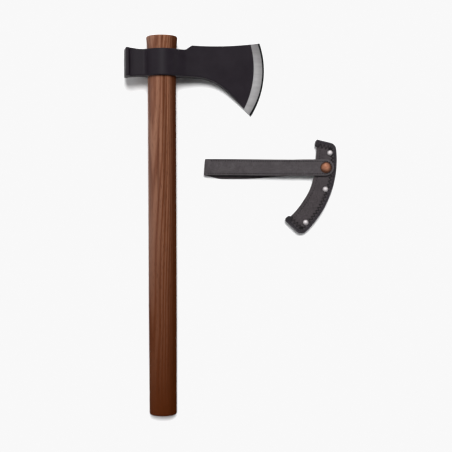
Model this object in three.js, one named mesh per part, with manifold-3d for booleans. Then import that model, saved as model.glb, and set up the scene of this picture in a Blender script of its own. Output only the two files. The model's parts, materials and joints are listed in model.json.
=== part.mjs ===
// A small felling axe with a slip-fit haft, lying on its side, and its leather edge sheath beside it.
// Millimetres, +Z up. The floor is z = 0, the haft runs along Y with the head at +Y, and the edge
// points to +X.
//
// Axe frame: x towards the cutting edge, y up the haft, z across the head, origin in the middle of the eye.
// Sheath frame: x in the direction that the sheath is drawn off the edge, y along the edge towards its toe,
// origin on the centre of the sheath's own arcs, z = 0 on the floor.
import * as THREE from "three";
import { mergeVertices } from "three/addons/utils/BufferGeometryUtils.js";
import Module from "manifold-3d";

const wasm = await Module();
wasm.setup();

const DEG = Math.PI / 180;
const fitGap = 0.3; // haft in the eye
const layerGap = 0.1; // leather on leather, and metal on leather

// ---- driving dimensions of the axe ----
const eye = { height: 34.8, topRadius: 19.3, bottomRadius: 18.6 };
const ring = { wall: 4.7 }; // steel around the widest part of the bore
const haft = {
  above: 18, // stands above the top of the eye
  below: 447.2, // from the bottom of the eye to the butt
  gripHeight: 179, // above the butt
  neckDrop: 67, // below the bottom of the eye
  flare: 0.8, // how much wider the top is than the eye
  gripRadius: 18.4,
  buttRadius: 18,
  topRound: 2.6,
  buttRound: 3,
};
const poll = {
  reach: 48.6,
  height: 37.2,
  halfWidth: 15.2,
  plate: 4.4, // thickness of the striking plate
  plateDraft: 0.3, // less height at the plate's inner side
  step: 2.4,
  stepRound: 0.7,
  neckHalf: 9.5,
  chamfer: 1,
};
const edge = {
  reach: 137.9,
  radius: 111.4,
  drop: 7.1,
  toeAngle: 19 * DEG,
  heelAngle: -33.5 * DEG,
  flat: 0.2,
};
const bevel = { width: 13.2, halfThickness: 2.5 };
const cheek = { rootHalf: 12 }; // half the thickness of the wedge at the arc's centre
const hollow = { leaveAngle: 42 * DEG, along: 5.6, inwards: 6.3, reach: 22, endHalf: 8 }; // ring to cheek
const shoulder = { start: 30, end: 39.2, rise: 5.8, sag: 1.6 }; // the step up to the blade's top line
// the lower line: level, turning down, then nearly straight to the heel
const beard = { start: 38, turn: 84, drop: 15.8, bow: 1.1, levelPull: 22, turnPull: 12.5, risePull: 9.6 };

// ---- driving dimensions of the sheath ----
const leather = 2.2; // panels and strap
const pocket = { depth: 14, clearance: 1, side: 0.2, flatter: 6.4 }; // its arc is flatter than the edge
const welt = { width: 12, endWidth: 6.5 }; // behind the edge, and along the two ends
const sheathEnd = { top: 50.2, bottom: 13.6, corner: 9, slant: -30.5 * DEG, mouthTangent: 9.5 * DEG };
const binding = { width: 7.5, thickness: 0.6, lug: 1 };
const thread = { radius: 0.4, inset: 3.6, mouthInset: 2.8, mouthStart: -33 * DEG };
const rivet = {
  inset: 8.1,
  capRadius: 3.7,
  dome: 1.6,
  postRadius: 1.5,
  backRadius: 3.5,
  backHeight: 1.6,
  backRound: 0.5,
};
const rivetAngles = [17.8 * DEG, -5.1 * DEG, -29.3 * DEG];
const snap = {
  inset: 13.6,
  angle: 8.35 * DEG,
  capRadius: 7.5,
  dome: 2.2,
  barrelRadius: 1.8,
  socketRadius: 5.8,
  socketHeight: 2.1,
  socketRoof: 0.3,
  studFlangeRadius: 5,
  studFlange: 0.8,
  nubRadius: 2.8, // at its widest, which the socket's spring grips
  nubWaist: 2.3,
  nubWidest: 0.9, // height of the widest part
  nubTopRadius: 2.2,
  nubHeight: 1.7,
  postRadius: 1.5,
  postFlangeRadius: 4,
  postFlange: 0.6,
};
const strap = {
  border: 3.3, // beside the snap's cap
  reach: 161.7, // from the snap back to the fold
  tail: 2.9, // past the snap's cap
  fixedEnd: 8, // how much sooner the fixed run stops
  foldGap: 6.5,
  rise: 4.4,
  climb: 24,
  stitchInset: 1.8,
  stitchStart: 4, // from the fold's middle
};

// ---- places on the floor ----
const axePlace = { turn: 0.2 * DEG };
const sheathPlace = { x: 100.8, y: -126.7, turn: -13.5 * DEG }; // its arc centre, seen from the eye

// ---- helpers: three.js geometry to and from solids ----
function solidOf(geometry) {
  const g = geometry.clone();
  g.deleteAttribute("normal");
  g.deleteAttribute("uv");
  const merged = mergeVertices(g, 1e-4);
  return new wasm.Manifold(
    new wasm.Mesh({
      numProp: 3,
      vertProperties: new Float32Array(merged.attributes.position.array),
      triVerts: new Uint32Array(merged.index.array),
    }),
  );
}

function geometryOf(solid) {
  const mesh = solid.getMesh();
  const positions = new Float32Array(mesh.numVert * 3);
  for (let i = 0; i < mesh.numVert; i++) {
    positions.set(mesh.vertProperties.subarray(i * mesh.numProp, i * mesh.numProp + 3), i * 3);
  }
  const g = new THREE.BufferGeometry();
  g.setAttribute("position", new THREE.BufferAttribute(positions, 3));
  g.setIndex(new THREE.BufferAttribute(mesh.triVerts, 1));
  return g;
}

// A flat shape in x and y, extruded from z = low to z = high.
function slab(shape, low, high, curveSegments = 24) {
  const settings = { depth: high - low, bevelEnabled: false, curveSegments };
  return new THREE.ExtrudeGeometry(shape, settings).translate(0, 0, low);
}

// A shape drawn in x and z, extruded along y from low to high.
function slabAlongY(shape, low, high, curveSegments = 24) {
  return slab(shape, -high, -low, curveSegments).rotateX(Math.PI / 2);
}

// A turned piece about a vertical axis; the profile's pairs are radius and height.
function turned(profile, segments = 32) {
  const points = profile.map(([r, z]) => new THREE.Vector2(r, z));
  return new THREE.LatheGeometry(points, segments).rotateX(Math.PI / 2);
}

function post(radius, low, high, segments = 32) {
  return turned([[0, low], [radius, low], [radius, high], [0, high]], segments);
}

// The solid with a round hole through it between two heights at each of the places.
function drilled(solid, places, radius, low, high) {
  const drill = ([x, y]) => solidOf(post(radius, low, high).translate(x, y, 0));
  return places.reduce((left, place) => left.subtract(drill(place)), solid);
}

const onArc = (radius, angle) => [radius * Math.cos(angle), radius * Math.sin(angle)];

// ---- materials ----
const paint = (colour, roughness, metalness) =>
  new THREE.MeshStandardMaterial({ color: colour, roughness, metalness });
const materials = {
  blackSteel: paint(0x2a272b, 0.5, 0.6),
  wood: paint(0x6e3f28, 0.5, 0),
  leather: paint(0x484345, 0.8, 0),
  tape: paint(0x262326, 0.9, 0),
  thread: paint(0x1c1a1c, 0.9, 0),
  nickel: paint(0xd8d4d4, 0.3, 1),
  copper: paint(0xa5663f, 0.35, 1),
};

function named(name, geometry, material) {
  const mesh = new THREE.Mesh(geometry, material);
  mesh.name = name;
  return mesh;
}

// ================= the axe =================
const ringRadius = eye.topRadius + ring.wall;
const haftTopRadius = eye.topRadius + haft.flare;
const edgeCentre = { x: edge.reach - edge.radius, y: -edge.drop };

function onEdge(angle) {
  const [x, y] = onArc(edge.radius, angle);
  return [edgeCentre.x + x, edgeCentre.y + y];
}

const toe = onEdge(edge.toeAngle);
const heel = onEdge(edge.heelAngle);

// The head seen from its side.
function headSide() {
  const halfEye = eye.height / 2;
  const halfPoll = poll.height / 2;
  const topLine = halfEye + shoulder.rise;
  const neckEnd = -ringRadius;
  const flareEnd = (neckEnd - poll.reach + poll.plate) / 2;
  const turnY = -halfEye - beard.drop;
  const s = new THREE.Shape();
  s.moveTo(-poll.reach, -halfPoll);
  s.lineTo(-poll.reach + poll.plate, -halfPoll + poll.plateDraft);
  s.quadraticCurveTo(flareEnd, -halfEye, neckEnd, -halfEye);
  s.lineTo(beard.start, -halfEye);
  s.bezierCurveTo(
    beard.start + beard.levelPull,
    -halfEye,
    beard.turn - beard.turnPull,
    turnY + beard.risePull,
    beard.turn,
    turnY,
  );
  const bowed = [(beard.turn + heel[0]) / 2 + beard.bow, (turnY + heel[1]) / 2 + beard.bow];
  s.quadraticCurveTo(...bowed, ...heel);
  s.absarc(edgeCentre.x, edgeCentre.y, edge.radius, edge.heelAngle, edge.toeAngle, false);
  s.quadraticCurveTo((shoulder.end + toe[0]) / 2, topLine - shoulder.sag, shoulder.end, topLine);
  s.lineTo(shoulder.start, halfEye);
  s.lineTo(neckEnd, halfEye);
  s.quadraticCurveTo(flareEnd, halfEye, -poll.reach + poll.plate, halfPoll - poll.plateDraft);
  s.lineTo(-poll.reach, halfPoll);
  s.closePath();
  return s;
}

// The poll and the ring around the eye, seen along the haft: x and z.
function headPlan() {
  const neckAngle = Math.PI - Math.asin(poll.neckHalf / ringRadius);
  const [leaveX, leaveZ] = onArc(ringRadius, hollow.leaveAngle);
  const rootEnd = edgeCentre.x + hollow.reach;
  const half = [
    [-poll.reach, 0],
    [-poll.reach, poll.halfWidth - poll.chamfer],
    [-poll.reach + poll.chamfer, poll.halfWidth],
    [-poll.reach + poll.plate, poll.halfWidth],
    [-poll.reach + poll.plate + poll.step, poll.neckHalf + poll.stepRound],
    [-poll.reach + poll.plate + 2 * poll.step, poll.neckHalf],
  ];
  const ringSteps = 24;
  for (let i = 0; i <= ringSteps; i++) {
    half.push(onArc(ringRadius, neckAngle + ((hollow.leaveAngle - neckAngle) * i) / ringSteps));
  }
  const leadIn = new THREE.QuadraticBezierCurve(
    new THREE.Vector2(leaveX, leaveZ),
    new THREE.Vector2(leaveX + hollow.along, leaveZ - hollow.inwards),
    new THREE.Vector2(rootEnd, hollow.endHalf),
  );
  leadIn.getPoints(8).slice(1).forEach((p) => half.push([p.x, p.y]));
  half.push([rootEnd, 0]);
  const other = half.slice(1, -1).reverse().map(([x, z]) => [x, -z]);
  return new THREE.Shape([...half, ...other].map(([x, z]) => new THREE.Vector2(x, z)));
}

// Half the blade's thickness at a depth behind the cutting edge, past the ground bevel.
function bladeHalfThickness(depth) {
  const share = (edge.radius - depth) / (edge.radius - bevel.width);
  return cheek.rootHalf + (bevel.halfThickness - cheek.rootHalf) * share;
}

// The wedge of the blade: two shallow cones about the edge's centre, steeper over the ground bevel.
function bladeWedge() {
  const inner = edge.radius - bevel.width;
  return turned([
    [0, -cheek.rootHalf],
    [inner, -bevel.halfThickness],
    [edge.radius, -edge.flat],
    [edge.radius, edge.flat],
    [inner, bevel.halfThickness],
    [0, cheek.rootHalf],
  ], 180).translate(edgeCentre.x, edgeCentre.y, 0);
}

// A quarter round at an end of the haft, from its flat to its side: pairs of radius and height.
function endRound(radius, end, round, inwards) {
  const steps = 4;
  const points = [];
  for (let i = 0; i < steps; i++) {
    const a = (i / steps) * (Math.PI / 2);
    points.push([radius - round * (1 - Math.sin(a)), end + inwards * round * (1 - Math.cos(a))]);
  }
  return points;
}

// Straight tapers between a few rings, with both ends rounded.
function haftGeometry() {
  const top = eye.height / 2 + haft.above;
  const butt = -eye.height / 2 - haft.below;
  const profile = [
    [0, butt],
    ...endRound(haft.buttRadius, butt, haft.buttRound, 1),
    [haft.buttRadius, butt + haft.buttRound],
    [haft.gripRadius, butt + haft.gripHeight],
    [(haft.gripRadius + eye.bottomRadius) / 2, -eye.height / 2 - haft.neckDrop],
    [eye.bottomRadius, -eye.height / 2],
    [eye.topRadius, eye.height / 2],
    [haftTopRadius, top - haft.topRound],
    ...endRound(haftTopRadius, top, haft.topRound, -1).reverse(),
    [0, top],
  ];
  return new THREE.LatheGeometry(profile.map(([r, y]) => new THREE.Vector2(r, y)), 48);
}

// The tapered bore: the haft with a clearance all round, longer than the head is high.
function eyeBore() {
  const past = 4;
  const slope = (eye.topRadius - eye.bottomRadius) / eye.height;
  const low = -eye.height / 2 - past;
  const high = eye.height / 2 + past;
  const lowRadius = eye.bottomRadius - slope * past + fitGap;
  const highRadius = eye.topRadius + slope * past + fitGap;
  return new THREE.LatheGeometry(
    [[0, low], [lowRadius, low], [highRadius, high], [0, high]].map(([r, y]) => new THREE.Vector2(r, y)),
    48,
  );
}

function headGeometry() {
  const tall = 200;
  const thick = 40;
  const side = solidOf(slab(headSide(), -thick, thick, 20));
  const plan = solidOf(slabAlongY(headPlan(), -tall, tall));
  const wedge = solidOf(bladeWedge());
  const ahead = new THREE.BoxGeometry(tall, tall, tall).translate(tall / 2 + ringRadius / 2, 0, 0);
  const bladeSide = solidOf(ahead);
  const body = side.intersect(plan);
  const blade = side.intersect(wedge).intersect(bladeSide);
  return geometryOf(body.add(blade).subtract(solidOf(eyeBore())));
}

// The axe rests on the butt, on the ring and on the edge: a small pitch of the haft, and a roll about it.
function axeGroup() {
  const ringEnd = -eye.height / 2;
  const buttContact = -eye.height / 2 - haft.below + haft.buttRound;
  const pitch = Math.atan((ringRadius - haft.buttRadius) / (ringEnd - buttContact));
  const axisHeight = ringRadius * Math.cos(pitch) - ringEnd * Math.sin(pitch);
  const heightAtEdge = axisHeight - edge.drop * Math.sin(pitch);
  const roll = Math.asin((heightAtEdge - edge.flat) / edge.reach);
  const group = new THREE.Group();
  group.rotation.set(pitch, roll, axePlace.turn, "ZXY");
  group.position.z = axisHeight;
  group.add(named("axe_head", headGeometry(), materials.blackSteel));
  group.add(named("haft", haftGeometry(), materials.wood));
  return group;
}

// ================= the sheath =================
const seatRadius = edge.radius + pocket.flatter; // where the edge lies in the fitted sheath
const outerRadius = seatRadius + pocket.clearance + welt.width;
const mouthRadius = seatRadius - pocket.depth;
const pastMouth = 12; // how far cutting shapes run on past the open side
const pocketGap = 2 * (bladeHalfThickness(pocket.depth) + pocket.side);
const level = {}; // heights above the floor, from the strap up
level.backLow = leather + 2 * layerGap;
level.backHigh = level.backLow + leather;
level.frontLow = level.backHigh + pocketGap;
level.frontHigh = level.frontLow + leather;
level.bindingLow = level.backLow - layerGap - binding.thickness;
level.bindingHigh = level.frontHigh + layerGap + binding.thickness;
level.strapLow = level.frontHigh + snap.studFlange + snap.socketHeight + 4 * layerGap; // over the snap

// The line of the sheath's closed border, from the mouth's top corner to its bottom one. It can be inset,
// and a negative inset makes it larger.
function borderPath(inset, path = new THREE.Path()) {
  const radius = outerRadius - inset;
  const corner = sheathEnd.corner - inset;
  const top = sheathEnd.top - inset;
  const centre = radius - corner;
  const topCentre = [Math.sqrt(centre ** 2 - (top - corner) ** 2), top - corner];
  const along = [Math.cos(sheathEnd.slant), Math.sin(sheathEnd.slant)];
  const across = [-along[1], along[0]];
  const bottom = -sheathEnd.bottom + inset;
  const atLine = (offset, distance) => [0, 1].map((i) => offset * across[i] + distance * along[i]);
  const bottomCentre = atLine(bottom + corner, Math.sqrt(centre ** 2 - (bottom + corner) ** 2));
  const bottomMouth = atLine(bottom, Math.sqrt(mouthRadius ** 2 - bottom ** 2));
  const tangent = onArc(mouthRadius, sheathEnd.mouthTangent);
  const topMouth = [tangent[0] - (top - tangent[1]) * Math.tan(sheathEnd.mouthTangent), top];
  const topAngle = Math.atan2(topCentre[1], topCentre[0]);
  const bottomAngle = Math.atan2(bottomCentre[1], bottomCentre[0]);
  path.moveTo(...topMouth);
  path.lineTo(topCentre[0], top);
  path.absarc(...topCentre, corner, Math.PI / 2, topAngle, true);
  path.absarc(0, 0, radius, topAngle, bottomAngle, true);
  path.absarc(...bottomCentre, corner, bottomAngle, sheathEnd.slant - Math.PI / 2, true);
  path.lineTo(...bottomMouth);
  return path;
}

// The outline of a sheath layer: the border, then the mouth's arc and its straight top.
function layerShape(inset, spill = 0) {
  const shape = borderPath(inset, new THREE.Shape());
  const end = shape.currentPoint;
  const radius = mouthRadius - spill;
  const tangent = onArc(radius, sheathEnd.mouthTangent);
  shape.absarc(0, 0, radius, Math.atan2(end.y, end.x), sheathEnd.mouthTangent, false);
  const top = sheathEnd.top - inset;
  shape.lineTo(tangent[0] - (top - tangent[1]) * Math.tan(sheathEnd.mouthTangent), top);
  shape.closePath();
  return shape;
}

const rivetSpots = rivetAngles.map((angle) => onArc(outerRadius - rivet.inset, angle));
const snapSpot = onArc(outerRadius - snap.inset, snap.angle);

function panelGeometry(low, high, postSpots) {
  const panel = solidOf(slab(layerShape(0), low, high));
  const pierced = drilled(panel, rivetSpots, rivet.postRadius + fitGap, low - 1, high + 1);
  return geometryOf(drilled(pierced, postSpots, snap.postRadius + fitGap, low - 1, high + 1));
}

// The leather spacer between the panels: wide where the cutting edge bears on it, narrow at the ends.
function weltGeometry() {
  const low = level.backHigh + layerGap;
  const high = level.frontLow - layerGap;
  const whole = solidOf(slab(layerShape(0), low, high));
  const inside = solidOf(slab(layerShape(welt.endWidth, pastMouth), low - 1, high + 1));
  const bladeRoom = solidOf(post(outerRadius - welt.width, low - 1, high + 1, 240));
  const spacer = whole.subtract(inside.intersect(bladeRoom));
  const pierced = drilled(spacer, rivetSpots, rivet.postRadius + fitGap, low - 1, high + 1);
  const reliefLow = high - snap.postFlange - 2 * fitGap;
  return geometryOf(drilled(pierced, [snapSpot], snap.postFlangeRadius + fitGap, reliefLow, high + 1));
}

// The woven tape folded over the border of all the layers.
function bindingGeometry() {
  const grow = layerGap + binding.thickness;
  const around = solidOf(slab(layerShape(-grow, binding.lug), level.bindingLow, level.bindingHigh));
  const inside = layerShape(-layerGap, pastMouth);
  const layers = solidOf(slab(inside, level.backLow - layerGap, level.frontHigh + layerGap));
  const low = level.bindingLow - 1;
  const high = level.bindingHigh + 1;
  const open = solidOf(slab(layerShape(binding.width, pastMouth), low, high));
  const folded = around.subtract(layers).subtract(open);
  return geometryOf(drilled(folded, rivetSpots, rivet.postRadius + fitGap, low, high));
}

// A dome on a short rim: radius and height pairs from the rim's foot to the crown.
function domeProfile(radius, low, height, steps = 5) {
  const rim = 0.25 * height;
  const points = [[radius, low], [radius, low + rim]];
  for (let i = 1; i < steps; i++) {
    const a = (i / steps) * (Math.PI / 2);
    points.push([radius * Math.cos(a), low + rim + (height - rim) * Math.sin(a)]);
  }
  return [...points, [0, low + height]];
}

function threadAlong(points) {
  const section = new THREE.Shape();
  const sides = 6;
  for (let i = 0; i < sides; i++) {
    const [x, y] = onArc(thread.radius, (i / sides) * 2 * Math.PI);
    if (i === 0) section.moveTo(x, y);
    else section.lineTo(x, y);
  }
  section.closePath();
  const extrudePath = new THREE.CatmullRomCurve3(points);
  return new THREE.ExtrudeGeometry(section, { steps: points.length * 2, extrudePath, bevelEnabled: false });
}

function borderThread(height) {
  const flat = borderPath(thread.inset).getSpacedPoints(34);
  return threadAlong(flat.map((p) => new THREE.Vector3(p.x, p.y, height)));
}

function mouthThread(height) {
  const radius = mouthRadius + thread.mouthInset;
  const points = [];
  const steps = 20;
  for (let i = 0; i <= steps; i++) {
    const angle = THREE.MathUtils.lerp(thread.mouthStart, sheathEnd.mouthTangent, i / steps);
    points.push(new THREE.Vector3(...onArc(radius, angle), height));
  }
  return threadAlong(points);
}

// Rivets: a domed cap with its post, and a flat cap on the back.
function addRivets(group) {
  const foot = level.bindingHigh + layerGap;
  const backTop = level.bindingLow - layerGap;
  rivetSpots.forEach(([x, y], i) => {
    const cap = turned([
      [0, backTop + layerGap],
      [rivet.postRadius, backTop + layerGap],
      [rivet.postRadius, foot],
      ...domeProfile(rivet.capRadius, foot, rivet.dome),
    ], 24);
    group.add(named(`sheath_rivet_${i + 1}`, cap.translate(x, y, 0), materials.nickel));
    const backLow = backTop - rivet.backHeight;
    const back = turned([
      [0, backLow],
      [rivet.backRadius - rivet.backRound, backLow],
      [rivet.backRadius, backLow + rivet.backRound],
      [rivet.backRadius, backTop],
      [0, backTop],
    ], 24);
    group.add(named(`sheath_rivet_back_${i + 1}`, back.translate(x, y, 0), materials.nickel));
  });
}

// The press snap: cap and socket on the strap, stud and post on the front panel.
function addSnap(sheath, flap) {
  const [x, y] = snapSpot;
  const studLow = level.frontHigh + layerGap;
  const studHigh = studLow + snap.studFlange;
  const socketLow = studHigh + layerGap;
  const socketHigh = socketLow + snap.socketHeight;
  const capLow = level.strapLow + leather + layerGap;
  const nubTop = studHigh + snap.nubHeight;
  const stud = turned([
    [0, studLow],
    [snap.studFlangeRadius, studLow],
    [snap.studFlangeRadius, studHigh],
    [snap.nubWaist, studHigh],
    [snap.nubRadius, studHigh + snap.nubWidest],
    [snap.nubTopRadius, nubTop],
    [0, nubTop],
  ], 24);
  const flangeLow = level.frontLow - layerGap - snap.postFlange;
  const flangeHigh = flangeLow + snap.postFlange;
  const studPost = turned([
    [0, flangeLow],
    [snap.postFlangeRadius, flangeLow],
    [snap.postFlangeRadius, flangeHigh],
    [snap.postRadius, flangeHigh],
    [snap.postRadius, level.frontHigh],
    [0, level.frontHigh],
  ], 24);
  const bore = snap.nubRadius + fitGap;
  const roof = socketHigh - snap.socketRoof;
  const socket = turned([
    [bore, socketLow],
    [snap.socketRadius, socketLow],
    [snap.socketRadius, socketHigh],
    [0, socketHigh],
    [0, roof],
    [bore, roof],
    [bore, socketLow],
  ], 24);
  const cap = turned([
    [0, level.strapLow],
    [snap.barrelRadius, level.strapLow],
    [snap.barrelRadius, capLow],
    ...domeProfile(snap.capRadius, capLow, snap.dome, 7),
  ], 36);
  sheath.add(named("snap_stud", stud.translate(x, y, 0), materials.nickel));
  sheath.add(named("snap_post", studPost.translate(x, y, 0), materials.nickel));
  flap.add(named("snap_socket", socket.translate(x, y, 0), materials.nickel));
  flap.add(named("snap_cap", cap.translate(x, y, 0), materials.copper));
}

// ---- the strap, in a frame of its own: x along it from the snap, away from the fold, y across, z up ----
const strapMiddle = level.strapLow + leather / 2; // of the leather where it sits on the snap
const strapHalf = snap.capRadius + strap.border;
const strapTip = snap.capRadius + strap.tail;
const foldRadius = (strap.foldGap + leather) / 2; // of the fold's middle line
const foldMiddle = { x: -strap.reach + foldRadius + leather / 2, z: foldRadius + leather / 2 };

// Height of the free run's middle line: level over the snap, down to the panel, then a long slope to
// the fold.
function freeRunHeight(x) {
  const foldTop = foldMiddle.z + foldRadius;
  const foot = -snap.capRadius - 1;
  const panelEnd = foot - strap.climb;
  const low = foldTop + strap.rise;
  if (x >= foot) return strapMiddle;
  if (x >= panelEnd) return low + (strapMiddle - low) * THREE.MathUtils.smoothstep(x, panelEnd, foot);
  const share = (x - foldMiddle.x) / (panelEnd - foldMiddle.x);
  return foldTop + strap.rise * Math.sin((share * Math.PI) / 2);
}

function freeRunGeometry() {
  const from = foldMiddle.x + layerGap;
  const to = strapTip;
  const steps = 30;
  const upper = [];
  const lower = [];
  for (let i = 0; i <= steps; i++) {
    const x = from + ((to - from) * i) / steps;
    upper.push(new THREE.Vector2(x, freeRunHeight(x) + leather / 2));
    lower.push(new THREE.Vector2(x, freeRunHeight(x) - leather / 2));
  }
  const side = new THREE.Shape([...lower, ...upper.reverse()]);
  const half = strapHalf;
  const band = solidOf(slabAlongY(side, -half - 1, half + 1));
  const plan = new THREE.Shape();
  plan.moveTo(from - 1, -half);
  plan.lineTo(to - half, -half);
  plan.absarc(to - half, 0, half, -Math.PI / 2, Math.PI / 2, false);
  plan.lineTo(from - 1, half);
  plan.closePath();
  const run = band.intersect(solidOf(slab(plan, 0, 3 * strapMiddle)));
  return geometryOf(drilled(run, [[0, 0]], snap.barrelRadius + fitGap, 0, 3 * strapMiddle));
}

function foldGeometry() {
  const bend = new THREE.Shape();
  bend.absarc(foldMiddle.x, foldMiddle.z, foldRadius + leather / 2, Math.PI / 2, 1.5 * Math.PI, false);
  bend.absarc(foldMiddle.x, foldMiddle.z, foldRadius - leather / 2, 1.5 * Math.PI, Math.PI / 2, true);
  bend.closePath();
  return slabAlongY(bend, -strapHalf, strapHalf, 12);
}

function fixedRunGeometry() {
  const from = foldMiddle.x + layerGap;
  const run = new THREE.Shape();
  run.moveTo(from, 0);
  run.lineTo(strapTip - strap.fixedEnd, 0);
  run.lineTo(strapTip - strap.fixedEnd, leather);
  run.lineTo(from, leather);
  run.closePath();
  return slabAlongY(run, -strapHalf, strapHalf);
}

// The stitching goes up one edge of the free run, round its end and back down the other.
function strapThread() {
  const inset = strapHalf - strap.stitchInset;
  const lift = leather / 2 + thread.radius + layerGap;
  const bendX = strapTip - strapHalf;
  const points = [];
  const sideSteps = 16;
  const endSteps = 8;
  const start = foldMiddle.x + strap.stitchStart;
  for (let i = 0; i < sideSteps; i++) points.push([start + ((bendX - start) * i) / sideSteps, -inset]);
  for (let i = 0; i <= endSteps; i++) {
    const [dx, dy] = onArc(inset, -Math.PI / 2 + (i / endSteps) * Math.PI);
    points.push([bendX + dx, dy]);
  }
  for (let i = sideSteps - 1; i >= 0; i--) points.push([start + ((bendX - start) * i) / sideSteps, inset]);
  return threadAlong(points.map(([x, y]) => new THREE.Vector3(x, y, freeRunHeight(x) + lift)));
}

function sheathGroup() {
  const sheath = new THREE.Group();
  sheath.position.set(sheathPlace.x, sheathPlace.y, 0);
  sheath.rotation.z = sheathPlace.turn;
  const lift = layerGap + thread.radius;
  const frontPanel = panelGeometry(level.frontLow, level.frontHigh, [snapSpot]);
  const backPanel = panelGeometry(level.backLow, level.backHigh, []);
  const frontSeam = borderThread(level.bindingHigh + lift);
  const backSeam = borderThread(level.bindingLow - lift);
  sheath.add(named("sheath_front_panel", frontPanel, materials.leather));
  sheath.add(named("sheath_back_panel", backPanel, materials.leather));
  sheath.add(named("sheath_welt", weltGeometry(), materials.leather));
  sheath.add(named("sheath_edge_binding", bindingGeometry(), materials.tape));
  sheath.add(named("sheath_seam_thread_front", frontSeam, materials.thread));
  sheath.add(named("sheath_seam_thread_back", backSeam, materials.thread));
  sheath.add(named("sheath_mouth_thread", mouthThread(level.frontHigh + lift), materials.thread));
  addRivets(sheath);
  addSnap(sheath, sheath);

  const strapLine = new THREE.Group();
  strapLine.position.set(...snapSpot, 0);
  strapLine.rotation.z = -sheathPlace.turn; // the strap lies along X
  strapLine.add(named("strap_free_run", freeRunGeometry(), materials.leather));
  strapLine.add(named("strap_fold", foldGeometry(), materials.leather));
  strapLine.add(named("strap_fixed_run", fixedRunGeometry(), materials.leather));
  strapLine.add(named("strap_stitching", strapThread(), materials.thread));
  sheath.add(strapLine);
  return sheath;
}

// ================= the whole =================
const assembly = new THREE.Group();
assembly.add(axeGroup());
assembly.add(sheathGroup());
assembly.updateMatrixWorld(true);
const box = new THREE.Box3().setFromObject(assembly, true);
assembly.position.set(-(box.min.x + box.max.x) / 2, -(box.min.y + box.max.y) / 2, -box.min.z);

export default assembly;
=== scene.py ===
import json
import math
import random
import bpy
import bmesh
from mathutils import Matrix, Vector


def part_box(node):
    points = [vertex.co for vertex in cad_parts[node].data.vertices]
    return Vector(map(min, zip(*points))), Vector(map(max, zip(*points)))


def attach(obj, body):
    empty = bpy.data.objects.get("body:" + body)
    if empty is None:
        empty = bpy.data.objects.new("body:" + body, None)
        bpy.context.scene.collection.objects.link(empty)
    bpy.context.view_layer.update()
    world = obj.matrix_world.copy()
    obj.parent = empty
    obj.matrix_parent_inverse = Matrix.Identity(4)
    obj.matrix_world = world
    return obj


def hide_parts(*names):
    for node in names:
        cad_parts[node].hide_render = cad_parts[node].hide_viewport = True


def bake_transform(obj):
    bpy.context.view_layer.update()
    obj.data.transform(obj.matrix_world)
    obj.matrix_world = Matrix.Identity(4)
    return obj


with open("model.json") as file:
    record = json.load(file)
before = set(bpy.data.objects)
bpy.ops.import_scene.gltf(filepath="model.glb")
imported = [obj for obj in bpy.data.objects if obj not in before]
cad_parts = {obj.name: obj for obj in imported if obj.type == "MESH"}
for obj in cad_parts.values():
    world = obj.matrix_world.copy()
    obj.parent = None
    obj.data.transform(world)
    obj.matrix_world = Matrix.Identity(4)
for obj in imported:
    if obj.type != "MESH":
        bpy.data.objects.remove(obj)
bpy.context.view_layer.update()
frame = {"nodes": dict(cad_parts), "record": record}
mm = 0.001  # shapes are drawn in millimetres, pieces are placed in metres
mounts = {mount["name"]: mount for mount in frame["record"]["mounts"]}
random.seed(11)

# the axe's own frame: x towards the edge, y up the haft, z across the head, from the middle of the eye
haftTop, haftButt, pollFace = (Vector(mounts[name]["pos_m"])
                               for name in ("haft_top_end", "haft_butt_end", "poll_face"))
haftUp = (haftTop - haftButt).normalized()
eyeMiddle = haftButt + haftUp * (pollFace - haftButt).dot(haftUp)
towardsEdge = (eyeMiddle - pollFace).normalized()
axePlace = Matrix((towardsEdge, haftUp, towardsEdge.cross(haftUp))).transposed().to_4x4()
axePlace.translation = eyeMiddle
print("frame loaded")


# small maths used by several pieces
def lerp(a, b, t):
    return a + (b - a) * t


def ease(t):
    t = min(max(t, 0.0), 1.0)
    return t * t * (3 - 2 * t)


def bezier(points, t):
    # any order, by repeated halving of the list
    points = [Vector(p) for p in points]
    while len(points) > 1:
        points = [a.lerp(b, t) for a, b in zip(points, points[1:])]
    return points[0]


def bezierRun(points, steps):
    return [bezier(points, i / steps) for i in range(steps + 1)]


def pathLengths(path):
    lengths = [0.0]
    for a, b in zip(path, path[1:]):
        lengths.append(lengths[-1] + (b - a).length)
    return lengths


def alongPath(path, lengths, distance):
    # the point, and the direction, at a distance along a list of points
    distance = min(max(distance, 0.0), lengths[-1])
    for i in range(1, len(path)):
        if distance <= lengths[i] or i == len(path) - 1:
            step = path[i] - path[i - 1]
            share = (distance - lengths[i - 1]) / max(lengths[i] - lengths[i - 1], 1e-9)
            return path[i - 1] + step * share, step.normalized()


def polar(radius, degrees):
    return Vector((radius * math.cos(math.radians(degrees)), radius * math.sin(math.radians(degrees))))


def boxMiddle(node):
    low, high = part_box(node)
    return (low + high) / 2


def levels(node):
    # the heights of a node's bottom and top, in millimetres
    return [corner.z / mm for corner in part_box(node)]


# shader node helpers
def feed(tree, value, socket):
    # a link from another socket, or a plain value
    if isinstance(value, bpy.types.NodeSocket):
        tree.links.new(value, socket)
    else:
        socket.default_value = value


def addNode(tree, kind, values=None, **settings):
    node = tree.nodes.new(kind)
    for name, value in settings.items():
        setattr(node, name, value)
    for name, value in (values or {}).items():
        feed(tree, value, node.inputs[name])
    return node


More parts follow.
